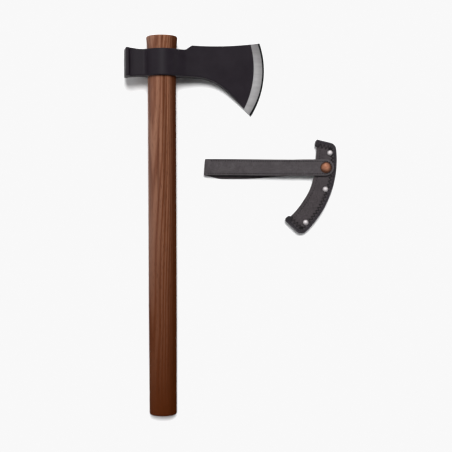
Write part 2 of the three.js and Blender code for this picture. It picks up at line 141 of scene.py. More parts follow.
def newGroup(name, inputs, outputs):
    tree = bpy.data.node_groups.new(name, "ShaderNodeTree")
    for label, kind, value in inputs:
        socket = tree.interface.new_socket(name=label, in_out="INPUT", socket_type="NodeSocket" + kind)
        if value is not None:
            socket.default_value = value
    for label, kind in outputs:
        tree.interface.new_socket(name=label, in_out="OUTPUT", socket_type="NodeSocket" + kind)
    return tree, addNode(tree, "NodeGroupInput").outputs, addNode(tree, "NodeGroupOutput").inputs


def maths(tree, operation, a, b=0.0, clamp=False):
    node = addNode(tree, "ShaderNodeMath", operation=operation, use_clamp=clamp)
    feed(tree, a, node.inputs[0])
    feed(tree, b, node.inputs[1])
    return node.outputs[0]


def ranged(tree, value, low, high, toLow=0.0, toHigh=1.0):
    node = addNode(tree, "ShaderNodeMapRange", {"Value": value, "From Min": low, "From Max": high,
                                                "To Min": toLow, "To Max": toHigh})
    return node.outputs[0]


def blended(tree, factor, a, b):
    node = addNode(tree, "ShaderNodeMix", data_type="RGBA")
    # the colour sockets come after the ones for numbers and vectors
    for index, value in ((0, factor), (6, a), (7, b)):
        feed(tree, value, node.inputs[index])
    return node.outputs[2]


def stretched(tree, vector, scale):
    return addNode(tree, "ShaderNodeMapping", {"Vector": vector, "Scale": scale}).outputs[0]


def scaledBy(tree, vector, amount):
    node = addNode(tree, "ShaderNodeVectorMath", {0: vector, "Scale": amount}, operation="SCALE")
    return node.outputs[0]


def pushedBy(tree, vector, noise, amount):
    # a place moved a little by the colours of a noise
    push = scaledBy(tree, noise.outputs["Color"], amount)
    return addNode(tree, "ShaderNodeVectorMath", {0: vector, 1: push}, operation="ADD").outputs[0]


def placedGroup(tree, group, values):
    return addNode(tree, "ShaderNodeGroup", values, node_tree=group).outputs


# effects that several materials share
def makeMottleGroup():
    tree, given, result = newGroup("cloudyMottle", [("Vector", "Vector", None), ("Scale", "Float", 60.0),
                                                    ("Low", "Float", 0.35), ("High", "Float", 0.65)],
                                   [("Mask", "Float")])
    noise = addNode(tree, "ShaderNodeTexNoise", {"Vector": given["Vector"], "Scale": given["Scale"],
                                                 "Detail": 4.0, "Roughness": 0.6})
    mask = addNode(tree, "ShaderNodeMapRange", {"Value": noise.outputs[0], "From Min": given["Low"],
                                                "From Max": given["High"]})
    tree.links.new(mask.outputs[0], result["Mask"])
    return tree


def makeWearGroup():
    # worn convex edges, broken up by noise
    tree, given, result = newGroup("wornEdges", [("Vector", "Vector", None), ("Scale", "Float", 250.0),
                                                 ("Start", "Float", 0.53), ("End", "Float", 0.62)],
                                   [("Mask", "Float")])
    pointed = addNode(tree, "ShaderNodeNewGeometry").outputs["Pointiness"]
    edge = addNode(tree, "ShaderNodeMapRange", {"Value": pointed, "From Min": given["Start"],
                                                "From Max": given["End"]}).outputs[0]
    noise = addNode(tree, "ShaderNodeTexNoise", {"Vector": given["Vector"], "Scale": given["Scale"],
                                                 "Detail": 3.0}).outputs[0]
    mask = maths(tree, "MULTIPLY", edge, ranged(tree, noise, 0.38, 0.62), clamp=True)
    tree.links.new(mask, result["Mask"])
    return tree


def makeDustGroup():
    # sparse pale specks and lint
    tree, given, result = newGroup("dustSpecks", [("Vector", "Vector", None), ("Scale", "Float", 350.0),
                                                  ("Amount", "Float", 0.12)], [("Mask", "Float")])
    cells = addNode(tree, "ShaderNodeTexVoronoi", {"Vector": given["Vector"], "Scale": given["Scale"],
                                                   "Randomness": 1.0})
    patch = addNode(tree, "ShaderNodeTexNoise", {"Vector": given["Vector"], "Scale": 30.0, "Detail": 2.0})
    reach = maths(tree, "MULTIPLY", given["Amount"], patch.outputs[0])
    speck = maths(tree, "LESS_THAN", cells.outputs["Distance"], reach)
    tree.links.new(speck, result["Mask"])
    return tree


def makeWoodGroup():
    # growth rings and fibres along Y, with short open pores
    tree, given, result = newGroup("woodFibres", [("Vector", "Vector", None)],
                                   [(name, "Float") for name in ("Rings", "Fibres", "Pores", "Bands")])
    bent = addNode(tree, "ShaderNodeTexNoise", {"Vector": stretched(tree, given["Vector"], (14, 2.2, 14)),
                                                "Scale": 1.0, "Detail": 2.0})
    moved = addNode(tree, "ShaderNodeMapping", {"Vector": pushedBy(tree, given["Vector"], bent, 0.016),
                                                "Location": (0.031, 0, 0.022), "Scale": (1, 0.02, 1)})
    rings = addNode(tree, "ShaderNodeTexWave", {"Vector": moved.outputs[0], "Scale": 105.0, "Distortion": 2.0,
                                                "Detail": 3.0, "Detail Scale": 1.6},
                    wave_type="RINGS", rings_direction="Y")
    fibres = addNode(tree, "ShaderNodeTexNoise", {"Vector": stretched(tree, given["Vector"], (900, 16, 900)),
                                                  "Scale": 1.0, "Detail": 5.0, "Roughness": 0.62})
    pores = addNode(tree, "ShaderNodeTexVoronoi",
                    {"Vector": stretched(tree, given["Vector"], (1150, 70, 1150)), "Scale": 1.0})
    bands = addNode(tree, "ShaderNodeTexNoise", {"Vector": stretched(tree, given["Vector"], (210, 3.6, 210)),
                                                 "Scale": 1.0, "Detail": 3.0, "Roughness": 0.5})
    tree.links.new(rings.outputs["Fac"], result["Rings"])
    tree.links.new(fibres.outputs[0], result["Fibres"])
    tree.links.new(ranged(tree, pores.outputs["Distance"], 0.30, 0.12), result["Pores"])
    tree.links.new(bands.outputs[0], result["Bands"])
    return tree


def makeLeatherGroup():
    # pebbled grain with fine creases, and the larger uneven dye
    tree, given, result = newGroup("leatherGrain", [("Vector", "Vector", None), ("Scale", "Float", 900.0)],
                                   [("Height", "Float"), ("Creases", "Float"), ("Dye", "Float")])
    warp = addNode(tree, "ShaderNodeTexNoise", {"Vector": given["Vector"], "Scale": 300.0, "Detail": 3.0})
    cells = addNode(tree, "ShaderNodeTexVoronoi", {"Vector": pushedBy(tree, given["Vector"], warp, 0.0016),
                                                   "Scale": given["Scale"]}, feature="DISTANCE_TO_EDGE")
    creases = ranged(tree, cells.outputs["Distance"], 0.0, 0.16, 1.0, 0.0)
    fine = addNode(tree, "ShaderNodeTexNoise", {"Vector": given["Vector"], "Scale": 2600.0, "Detail": 2.0})
    height = maths(tree, "SUBTRACT", maths(tree, "MULTIPLY", fine.outputs[0], 0.35), creases)
    broad = addNode(tree, "ShaderNodeTexNoise", {"Vector": given["Vector"], "Scale": 85.0, "Detail": 5.0,
                                                 "Roughness": 0.62})
    speckled = addNode(tree, "ShaderNodeTexNoise", {"Vector": given["Vector"], "Scale": 480.0})
    dye = maths(tree, "ADD", maths(tree, "MULTIPLY", broad.outputs[0], 0.45),
                maths(tree, "MULTIPLY", speckled.outputs[0], 0.55))
    tree.links.new(height, result["Height"])
    tree.links.new(creases, result["Creases"])
    tree.links.new(dye, result["Dye"])
    return tree


def makeWeaveGroup():
    # plain weave of fine yarns: two waves that take turns on top
    tree, given, result = newGroup("plainWeave", [("Vector", "Vector", None), ("Yarns", "Float", 420.0)],
                                   [("Height", "Float"), ("Gaps", "Float")])
    pitch = scaledBy(tree, given["Vector"], given["Yarns"])
    split = addNode(tree, "ShaderNodeSeparateXYZ", {"Vector": pitch}).outputs

    def wave(axis, perYarn):
        return maths(tree, "SINE", maths(tree, "MULTIPLY", split[axis], perYarn * 2 * math.pi))

    over = maths(tree, "MULTIPLY", wave(0, 1), wave(1, 1))
    yarn = maths(tree, "MAXIMUM", maths(tree, "ABSOLUTE", wave(0, 2)), maths(tree, "ABSOLUTE", wave(1, 2)))
    gaps = maths(tree, "SUBTRACT", 1.0, yarn, clamp=True)
    height = maths(tree, "ADD", maths(tree, "MULTIPLY", over, 0.5), yarn)
    tree.links.new(height, result["Height"])
    tree.links.new(gaps, result["Gaps"])
    return tree


def makeBrushedGroup():
    # fine scratches, long along one axis
    inputs = [("Vector", "Vector", None), ("Fine", "Vector", (2500, 60, 900))]
    tree, given, result = newGroup("brushedLines", inputs, [("Lines", "Float"), ("Streaks", "Float")])
    scaled = addNode(tree, "ShaderNodeVectorMath", {0: given["Vector"], 1: given["Fine"]},
                     operation="MULTIPLY")
    lines = addNode(tree, "ShaderNodeTexNoise", {"Vector": scaled.outputs[0], "Scale": 1.0, "Detail": 4.0,
                                                 "Roughness": 0.7})
    wide = scaledBy(tree, scaled.outputs[0], 0.12)
    streaks = addNode(tree, "ShaderNodeTexNoise", {"Vector": wide, "Scale": 1.0, "Detail": 2.0})
    tree.links.new(lines.outputs[0], result["Lines"])
    tree.links.new(streaks.outputs[0], result["Streaks"])
    return tree


mottle = makeMottleGroup()
wornEdges = makeWearGroup()
dustSpecks = makeDustGroup()
woodFibres = makeWoodGroup()
leatherGrain = makeLeatherGroup()
plainWeave = makeWeaveGroup()
brushedLines = makeBrushedGroup()


# materials
def newMaterial(name, **sockets):
    material = bpy.data.materials.new(name)
    material.use_nodes = True
    tree = material.node_tree
    shader = tree.nodes["Principled BSDF"]
    for label, value in sockets.items():
        shader.inputs[label.replace("_", " ")].default_value = value
    spot = addNode(tree, "ShaderNodeTexCoord").outputs["Object"]
    return material, tree, shader, spot


def bumped(tree, shader, height, strength, distance):
    bump = addNode(tree, "ShaderNodeBump", {"Height": height, "Strength": strength, "Distance": distance})
    tree.links.new(bump.outputs[0], shader.inputs["Normal"])


coating = {
    "black": (0.0108, 0.0081, 0.0113, 1),
    "grey": (0.0150, 0.0118, 0.0155, 1),
    "worn": (0.07, 0.065, 0.07, 1),
}


def makeCoatedSteel():
    material, tree, shader, spot = newMaterial("blackCoatedSteel", Specular_IOR_Level=0.06)
    cloud = placedGroup(tree, mottle, {"Vector": spot, "Scale": 45.0, "Low": 0.3, "High": 0.7})["Mask"]
    wear = placedGroup(tree, wornEdges, {"Vector": spot, "Scale": 320.0, "Start": 0.545, "End": 0.68})["Mask"]
    specks = placedGroup(tree, dustSpecks, {"Vector": spot, "Scale": 420.0, "Amount": 0.1})["Mask"]
    colour = blended(tree, cloud, coating["black"], coating["grey"])
    colour = blended(tree, maths(tree, "MULTIPLY", wear, 0.35), colour, coating["worn"])
    colour = blended(tree, maths(tree, "MULTIPLY", specks, 0.12), colour, coating["worn"])
    tree.links.new(colour, shader.inputs["Base Color"])
    tree.links.new(ranged(tree, cloud, 0, 1, 0.46, 0.54), shader.inputs["Roughness"])
    peel = addNode(tree, "ShaderNodeTexNoise", {"Vector": spot, "Scale": 1700.0, "Detail": 3.0})
    bumped(tree, shader, peel.outputs[0], 0.25, 0.00012)
    return material


ground = {
    "dull": (0.335, 0.325, 0.328, 1),
    "bright": (0.505, 0.493, 0.497, 1),
    "toe": (0.14, 0.132, 0.134, 1),
    # painted dark reflection close to the edge
    "fine": (0.125, 0.121, 0.122, 1),
    "toeFade": (0.205, 0.245, 0.0, 0.75),  # along Y, from and to, then how much there
    "arcMiddle": (26.5, -7.1),  # of the edge's arc, from the eye
    "paintedDarkFade": (0.1015, 0.1105, 0.0, 0.55),  # outwards from the arc's middle
}


def makeGroundSteel():
    material, tree, shader, spot = newMaterial("groundSteel", Metallic=0.55, Specular_IOR_Level=0.3)
    brushed = placedGroup(tree, brushedLines, {"Vector": spot, "Fine": (160, 2600, 400)})
    cloud = placedGroup(tree, mottle, {"Vector": spot, "Scale": 70.0, "Low": 0.25, "High": 0.75})["Mask"]
    shade = maths(tree, "ADD", maths(tree, "MULTIPLY", brushed["Lines"], 0.5),
                  maths(tree, "MULTIPLY", brushed["Streaks"], 0.5))
    colour = blended(tree, ranged(tree, shade, 0.3, 0.7), ground["dull"], ground["bright"])
    colour = blended(tree, maths(tree, "MULTIPLY", cloud, 0.2), colour, ground["dull"])
    # darker towards the toe
    along = addNode(tree, "ShaderNodeSeparateXYZ", {"Vector": spot}).outputs[1]
    colour = blended(tree, ranged(tree, along, *ground["toeFade"]), colour, ground["toe"])
    # close to the edge the grind is finer, and its darker look from above is painted into the colour as dark
    # reflection
    out, up = ground["arcMiddle"]
    arcMiddle = eyeMiddle + (towardsEdge * out + haftUp * up) * mm
    outwards = addNode(tree, "ShaderNodeVectorMath", {0: spot, 1: arcMiddle}, operation="DISTANCE")
    paintedDarkNearEdge = ranged(tree, outwards.outputs["Value"], *ground["paintedDarkFade"])
    colour = blended(tree, paintedDarkNearEdge, colour, ground["fine"])
    tree.links.new(colour, shader.inputs["Base Color"])
    tree.links.new(ranged(tree, brushed["Lines"], 0.3, 0.7, 0.34, 0.5), shader.inputs["Roughness"])
    bumped(tree, shader, brushed["Lines"], 0.3, 0.00004)
    return material


def makePaintedDarkEdge():
    material, tree, shader, spot = newMaterial("paintedDarkEdge", Specular_IOR_Level=0.03)
    brushed = placedGroup(tree, brushedLines, {"Vector": spot, "Fine": (700, 1500, 700)})
    # painted dark reflection: the honed edge is coloured near black
    colour = blended(tree, brushed["Lines"], (0.004, 0.004, 0.0045, 1), (0.012, 0.012, 0.013, 1))
    tree.links.new(colour, shader.inputs["Base Color"])
    tree.links.new(ranged(tree, brushed["Streaks"], 0.3, 0.7, 0.35, 0.5), shader.inputs["Roughness"])
    bumped(tree, shader, brushed["Lines"], 0.2, 0.00003)
    return material


stain = {
    "light": (0.215, 0.096, 0.056, 1),
    "middle": (0.125, 0.043, 0.021, 1),
    "dark": (0.055, 0.015, 0.006, 1),
    "pore": (0.018, 0.005, 0.002, 1),
    # painted shade: darker towards the butt
    "paintedShadeLow": (0.052, 0.0125, 0.0034, 1),
    # painted shade on the haft's side towards the blade
    "paintedShadeSide": (0.036, 0.0074, 0.0011, 1),
    # along X from the eye, or along Y: from and to, then how much there
    "paintedShadeLowFade": (0.20, -0.24, 0.0, 1.0),
    "paintedShadeSideFade": (0.0085, 0.0155, 0.0, 0.8),
    "waxSide": (0.002, -0.011, 0.0, 1.0),
    "waxFade": (-0.12, -0.01, 0.04, 0.45),
}


def makeStainedWood():
    material, tree, shader, spot = newMaterial("stainedWood", Specular_IOR_Level=0.0, Coat_Roughness=0.5)
    wood = placedGroup(tree, woodFibres, {"Vector": spot})
    tone = maths(tree, "ADD", maths(tree, "MULTIPLY", wood["Rings"], 0.42),
                 maths(tree, "MULTIPLY", wood["Fibres"], 0.58))
    colour = blended(tree, ranged(tree, tone, 0.30, 0.60), stain["middle"], stain["light"])
    colour = blended(tree, ranged(tree, wood["Bands"], 0.52, 0.80), colour, stain["dark"])
    place = addNode(tree, "ShaderNodeSeparateXYZ", {"Vector": spot}).outputs
    fromEye = maths(tree, "SUBTRACT", place[0], eyeMiddle.x)
    # painted shade: the haft darkens towards the butt
    colour = blended(tree, ranged(tree, place[1], *stain["paintedShadeLowFade"]), colour, stain["paintedShadeLow"])
    # painted shade: the haft's side towards the blade is darkened as its shaded flank
    edgeOfPaintedShade = maths(tree, "ADD", fromEye, ranged(tree, wood["Fibres"], 0.2, 0.8, -0.0012, 0.0012))
    colour = blended(tree, ranged(tree, edgeOfPaintedShade, *stain["paintedShadeSideFade"]), colour, stain["paintedShadeSide"])
    colour = blended(tree, maths(tree, "MULTIPLY", wood["Pores"], 0.55), colour, stain["pore"])
    tree.links.new(colour, shader.inputs["Base Color"])
    tree.links.new(ranged(tree, wood["Fibres"], 0.3, 0.7, 0.42, 0.58), shader.inputs["Roughness"])
    # the pale side is waxed, and hands have worn most of the wax off its lower part
    waxed = maths(tree, "MULTIPLY", ranged(tree, fromEye, *stain["waxSide"]),
                  ranged(tree, place[1], *stain["waxFade"]))
    tree.links.new(waxed, shader.inputs["Coat Weight"])
    height = maths(tree, "SUBTRACT", wood["Fibres"], wood["Pores"])
    bumped(tree, shader, height, 0.35, 0.00018)
    return material


hide = {
    # each cut's body, paler dye and creases
    "panel": ((0.040, 0.033, 0.036, 1), (0.062, 0.053, 0.056, 1), (0.012, 0.010, 0.011, 1)),
    "welt": ((0.030, 0.026, 0.028, 1), (0.050, 0.044, 0.046, 1), (0.012, 0.010, 0.011, 1)),
    "strap": ((0.053, 0.046, 0.049, 1), (0.080, 0.071, 0.075, 1), (0.015, 0.013, 0.014, 1)),
    "worn": (0.12, 0.105, 0.108, 1),
    "speck": (0.20, 0.19, 0.19, 1),
}


def makeLeather(name, cut):
    body, pale, crease = hide[cut]
    material, tree, shader, spot = newMaterial(name, Specular_IOR_Level=0.12, Sheen_Weight=0.05)
    grain = placedGroup(tree, leatherGrain, {"Vector": spot, "Scale": 1050.0})
    wear = placedGroup(tree, wornEdges, {"Vector": spot, "Scale": 400.0, "Start": 0.53, "End": 0.64})["Mask"]
    specks = placedGroup(tree, dustSpecks, {"Vector": spot, "Scale": 500.0, "Amount": 0.13})["Mask"]
    colour = blended(tree, ranged(tree, grain["Dye"], 0.38, 0.62), body, pale)
    colour = blended(tree, maths(tree, "MULTIPLY", grain["Creases"], 0.6), colour, crease)
    colour = blended(tree, maths(tree, "MULTIPLY", wear, 0.35), colour, hide["worn"])
    colour = blended(tree, maths(tree, "MULTIPLY", specks, 0.26), colour, hide["speck"])
    tree.links.new(colour, shader.inputs["Base Color"])
    tree.links.new(ranged(tree, grain["Dye"], 0.3, 0.7, 0.7, 0.86), shader.inputs["Roughness"])
    bumped(tree, shader, grain["Height"], 0.55, 0.00022)
    return material


def makeWovenBlack(name, colour, yarns, lift):
    material, tree, shader, spot = newMaterial(name, Specular_IOR_Level=0.1, Sheen_Weight=0.03)
    weave = placedGroup(tree, plainWeave, {"Vector": spot, "Yarns": yarns})
    specks = placedGroup(tree, dustSpecks, {"Vector": spot, "Scale": 600.0, "Amount": 0.12})["Mask"]
    cloud = placedGroup(tree, mottle, {"Vector": spot, "Scale": 120.0, "Low": 0.3, "High": 0.7})["Mask"]
    paler = [min(1.0, c * 1.9) for c in colour[:3]] + [1]
    darker = [c * 0.35 for c in colour[:3]] + [1]
    base = blended(tree, cloud, colour, paler)
    base = blended(tree, maths(tree, "MULTIPLY", weave["Gaps"], 0.8), base, darker)
    base = blended(tree, maths(tree, "MULTIPLY", specks, 0.25), base, (0.14, 0.13, 0.13, 1))
    tree.links.new(base, shader.inputs["Base Color"])
    tree.links.new(ranged(tree, cloud, 0, 1, 0.72, 0.9), shader.inputs["Roughness"])
    bumped(tree, shader, weave["Height"], 0.5, lift)
    return material


def makePlatedMetal(name, bright, dull, roughness):
    material, tree, shader, spot = newMaterial(name, Metallic=1.0)
    brushed = placedGroup(tree, brushedLines, {"Vector": spot, "Fine": (900, 900, 900)})
    cloud = placedGroup(tree, mottle, {"Vector": spot, "Scale": 260.0, "Low": 0.35, "High": 0.7})["Mask"]
    colour = blended(tree, cloud, bright, dull)
    tree.links.new(colour, shader.inputs["Base Color"])
    scuffed = ranged(tree, brushed["Lines"], 0.3, 0.7, roughness, roughness + 0.14)
    tree.links.new(scuffed, shader.inputs["Roughness"])
    bumped(tree, shader, brushed["Lines"], 0.12, 0.00003)
    return material


coatedSteel = makeCoatedSteel()
groundSteel = makeGroundSteel()
paintedDarkEdge = makePaintedDarkEdge()
stainedWood = makeStainedWood()
charcoalLeather = makeLeather("charcoalLeather", "panel")
weltLeather = makeLeather("weltLeather", "welt")
strapLeather = makeLeather("strapLeather", "strap")
borderTape = makeWovenBlack("borderTape", (0.027, 0.0235, 0.027, 1), 620.0, 0.00025)
blackThread = makeWovenBlack("blackThread", (0.0045, 0.004, 0.0045, 1), 1500.0, 0.0001)
tackThread = makeWovenBlack("tackThread", (0.019, 0.0165, 0.019, 1), 1500.0, 0.0001)
nickelPlate = makePlatedMetal("nickelPlate", (0.40, 0.375, 0.38, 1), (0.33, 0.308, 0.313, 1), 0.54)
darkRimCopper = makePlatedMetal("darkRimCopper", (0.05, 0.022, 0.014, 1), (0.03, 0.012, 0.008, 1), 0.55)
copperPlate = makePlatedMetal("copperPlate", (0.165, 0.075, 0.046, 1), (0.095, 0.040, 0.024, 1), 0.46)
print("materials made")


# mesh helpers: a shape is a list of points and a list of faces
def lofted(loops, capped=True):
    # closed loops of one length, joined in order
    count = len(loops[0])
    verts = [point for loop in loops for point in loop]
    faces = []
    for i in range(len(loops) - 1):
        for j in range(count):
            k = (j + 1) % count
            faces.append((i * count + j, i * count + k, (i + 1) * count + k, (i + 1) * count + j))
    if capped:
        faces.append(tuple(reversed(range(count))))
        faces.append(tuple(range((len(loops) - 1) * count, len(loops) * count)))
    return verts, faces


def turned(profile, segments, axis="Z", middle=(0, 0)):
    # radius and height pairs, about Z through a point, or about Y
    loops = []
    for radius, height in profile:
        loop = []
        for i in range(segments):
            across = polar(radius, 360 * i / segments)
            if axis == "Z":
                loop.append((middle[0] + across.x, middle[1] + across.y, height))
            else:
                loop.append((across.x, height, -across.y))
        loops.append(loop)
    return lofted(loops)


def threadTube(points, radius, sides=6):
    # a rounded length of thread through the points
    points = [Vector(p) for p in points]
    loops = []
    for i, point in enumerate(points):
        ahead = (points[min(i + 1, len(points) - 1)] - points[max(i - 1, 0)]).normalized()
        flat = ahead.cross(Vector((0, 0, 1)))
        flat = flat.normalized() if flat.length > 0.1 else Vector((1, 0, 0)).cross(ahead).normalized()
        lift = flat.cross(ahead)
        size = radius * (0.55 if i in (0, len(points) - 1) else 1.0)
        loops.append([tuple(point + flat * across.x + lift * across.y)
                      for across in (polar(size, 360 * j / sides) for j in range(sides))])
    return lofted(loops)


def joined(shapes):
    verts, faces = [], []
    for someVerts, someFaces in shapes:
        start = len(verts)
        verts += someVerts
        faces += [tuple(start + index for index in face) for face in someFaces]
    return verts, faces


def meshObject(name, shape, materials, placed=Matrix.Identity(4), paint=None, sharpAngle=38):
    verts, faces = shape
    mesh = bpy.data.meshes.new(name)
    mesh.from_pydata([[c * mm for c in point] for point in verts], [], faces)
    for material in materials:
        mesh.materials.append(material)
    if paint:
        mesh.polygons.foreach_set("material_index", paint)
    mesh.transform(placed)
    shadeMesh(mesh, sharpAngle)
    piece = bpy.data.objects.new(name, mesh)
    bpy.context.scene.collection.objects.link(piece)
    return piece


def shadeMesh(mesh, sharpAngle):
    # faces point outwards, smooth but for real corners and the lines between two finishes
    bm = bmesh.new()
    bm.from_mesh(mesh)
    bmesh.ops.recalc_face_normals(bm, faces=bm.faces)
    for face in bm.faces:
        face.smooth = True
    for edge in bm.edges:
        if len(edge.link_faces) == 2:
            finishes = {face.material_index for face in edge.link_faces}
            edge.smooth = edge.calc_face_angle(0) < math.radians(sharpAngle) and len(finishes) == 1
    bm.to_mesh(mesh)
    bm.free()


def finished(piece, body, slot, *nodes):
    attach(piece, body)
    if nodes:
        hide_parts(*nodes)
    return piece


# the axe
head = {
    "pollReach": (eyeMiddle - pollFace).length / mm,
    "pollHalfWidth": 15.2,
    "pollTop": 18.9,
    "pollBottom": -18.3,
    "plate": 4.4,
    "neckHalf": 9.5,
    "halfEye": 17.4,
    "eyeTop": 19.5,
    "eyeBottom": 18.6,
    "eyeClearance": 0.12,
    "ringRadius": 24.0,
    "shoulder": (30.0, 39.2),
    "shoulderTop": 23.2,
    "cheekHalf": 10.2,
    "toe": (131.8, 29.2),
    "edgeBow": 11.5,
    "bevelShare": 0.861,
    "bevelBow": 8.24,
    "bevelHalf": 2.5,
    "honedShare": 0.969,
    "honedHalf": 0.5,
    "edgeHalf": 0.12,
    "beard": ((39.2, -17.8), (61, -18.2), (71.5, -23.4), (84, -33.2)),
    "beardEnd": ((84, -33.2), (102.8, -49.8), (119.4, -68.6)),
}
topRail = bezierRun(((head["shoulder"][1], head["shoulderTop"]), (85.5, 21.6), head["toe"]), 40)
beardRail = bezierRun(head["beard"], 24) + bezierRun(head["beardEnd"], 24)[1:]
topLengths, beardLengths = pathLengths(topRail), pathLengths(beardRail)


def headOutline(x):
    # lower and upper line of the poll, ring and neck
    start, end = head["shoulder"]
    away = ease((x + head["pollReach"] - head["plate"] - 1) / 13)
    low = lerp(head["pollBottom"], -head["halfEye"], away)
    high = lerp(head["pollTop"], head["halfEye"], away)
    rise = min(max((x - start) / (end - start), 0), 1)
    high = lerp(high, head["shoulderTop"], 0.35 * ease(rise) + 0.65 * rise)
    low -= 0.4 * ease((x - 24) / (end - 24))
    return low, high


def headStations():
    # each: lower end, upper end, bow of the line between them, half thickness, rounding
    reach, plate, neck, ringRadius = (head[key] for key in ("pollReach", "plate", "neckHalf", "ringRadius"))
    poll = head["pollHalfWidth"]
    # the poll's plate: how far from its face, how much narrower, how much shorter
    plan = [(-reach + x, poll - narrower, shorter)
            for x, narrower, shorter in ((0, 0.4, 0.2), (0.1, 0.2, 0.1), (0.25, 0.06, 0.03), (0.5, 0, 0))]
    plan += [(plate - reach - x, poll - narrower, 0)
             for x, narrower in ((1.6, 0), (0.7, 0.1), (0.2, 0.5), (0, 1.1))]
    # the neck, with a fillet at both of its ends
    plan += [(plate - reach + x, neck + wider, 0)
             for x, wider in ((0.4, 1.7), (0.8, 0.8), (1.5, 0.25), (2.6, 0))]
    plan += [(x, neck, 0) for x in (-36, -31, -26.5, -24.6)]
    plan += [(-23.5, neck + 0.25, 0), (-22.6, neck + 0.85, 0)]
    # the ring round the eye, then the sweep into the cheek
    ring = [polar(ringRadius, 152 - 4 * i) for i in range(27)]
    plan += [(p.x, p.y, 0) for p in ring + bezierRun((ring[-1], (22.9, 11.64), (33, 10.75)), 10)[1:]]
    plan += [(36, 10.48, 0)]
    stations = []
    for x, half, inset in plan:
        low, high = headOutline(x)
        rounding = 0.9 if half > 9 else 0.7
        stations.append((Vector((x, low + inset)), Vector((x, high - inset)), 0.0, half, rounding))
    shares = [i / 26 * head["bevelShare"] for i in range(27)]
    shares += [lerp(head["bevelShare"], head["honedShare"], i / 7) for i in range(1, 8)] + [0.992, 1.0]
    for share in shares:
        low = alongPath(beardRail, beardLengths, share * beardLengths[-1])[0]
        high = alongPath(topRail, topLengths, share * topLengths[-1])[0]
        if share <= head["bevelShare"]:
            along = share / head["bevelShare"]
            bow = head["bevelBow"] * along ** 1.6
            half, rounding = lerp(head["cheekHalf"], head["bevelHalf"], along), lerp(0.7, 0.35, along)
        elif share <= head["honedShare"]:
            along = (share - head["bevelShare"]) / (head["honedShare"] - head["bevelShare"])
            bow = lerp(head["bevelBow"], head["edgeBow"], along)
            half, rounding = lerp(head["bevelHalf"], head["honedHalf"], along), lerp(0.3, 0.08, along)
        else:
            along = (share - head["honedShare"]) / (1 - head["honedShare"])
            bow = head["edgeBow"]
            half, rounding = lerp(head["honedHalf"], head["edgeHalf"], along), 0.04
        stations.append((low, high, bow, half, rounding))
    return stations


def stationLoop(low, high, bow, half, rounding, across=24, cornerSteps=3):
    # a closed section of the head: up one cheek, over the top, down the other, under the bottom
    chord = high - low
    length = chord.length
    normal = Vector((chord.y, -chord.x)) / length
    if bow > 0.01:
        radius = (length * length / 4 + bow * bow) / (2 * bow)
        centre = (low + high) / 2 + normal * (bow - radius)
        start = math.atan2(low.y - centre.y, low.x - centre.x)
        end = math.atan2(high.y - centre.y, high.x - centre.x)

    def onLine(distance):
        share = distance / length
        if bow <= 0.01:
            return low + chord * share
        angle = lerp(start, end, share)
        return centre + Vector((math.cos(angle), math.sin(angle))) * radius

    rounding = min(rounding, half * 0.6)
    corner = []  # from the wall to the cheek
    for i in range(cornerSteps + 1):
        around = polar(rounding, 90 * i / cornerSteps)
        corner.append((rounding - around.x, half - rounding + around.y))
    front = corner + [(lerp(rounding, length - rounding, i / across), half) for i in range(1, across)]
    front += [(length - d, z) for d, z in reversed(corner)]
    points = [(0.0, 0.0)] + front + [(length, 0.0)] + [(d, -z) for d, z in reversed(front)]
    return [(onLine(d).x, onLine(d).y, z) for d, z in points]


def makeHead():
    stations = headStations()
    loops = [stationLoop(*station) for station in stations]
    shape = lofted(loops)
    # the last two strips are honed, the seven before them are the ground bevel
    honedFrom = len(loops) - 3
    bevelFrom = honedFrom - 7
    paint = []
    for i in range(len(loops) - 1):
        paint += [2 if i >= honedFrom else 1 if i >= bevelFrom else 0] * len(loops[0])
    paint += [0, 2]
    piece = meshObject("axeHead", shape, [coatedSteel, groundSteel, paintedDarkEdge], axePlace, paint)
    # the cutter follows the eye's taper and runs past both of its ends
    past = 6.0
    wider = head["eyeClearance"]
    slope = (head["eyeTop"] - head["eyeBottom"]) / (2 * head["halfEye"])
    taper = [(head["eyeBottom"] - slope * past + wider, -head["halfEye"] - past),
             (head["eyeTop"] + slope * past + wider, head["halfEye"] + past)]
    cutter = meshObject("eyeCutter", turned(taper, haft["segments"], "Y"), [coatedSteel], axePlace)
    cut = piece.modifiers.new("eye", "BOOLEAN")
    cut.object, cut.operation, cut.solver = cutter, "DIFFERENCE", "EXACT"
    bpy.context.view_layer.update()
    whole = bpy.data.meshes.new_from_object(piece.evaluated_get(bpy.context.evaluated_depsgraph_get()))
    piece.modifiers.clear()
    piece.data = whole
    shadeMesh(whole, 38)
    bpy.data.objects.remove(cutter)
    return finished(piece, "axe", "black_coated_steel", "axe_head")


haft = {
    "topRadius": 20.6,
    "topRound": 2.4,
    "buttRadius": 18.0,
    "buttRound": 3.0,
    "swell": 18.45,
    "swellAt": 0.35,  # of the way up to the eye
    "segments": 128,
}


def tapered(fromPair, toPair, steps):
    # radius and height pairs after the first one, up to the second
    (fromRadius, fromHeight), (toRadius, toHeight) = fromPair, toPair
    return [(lerp(fromRadius, toRadius, i / steps), lerp(fromHeight, toHeight, i / steps))
            for i in range(1, steps + 1)]


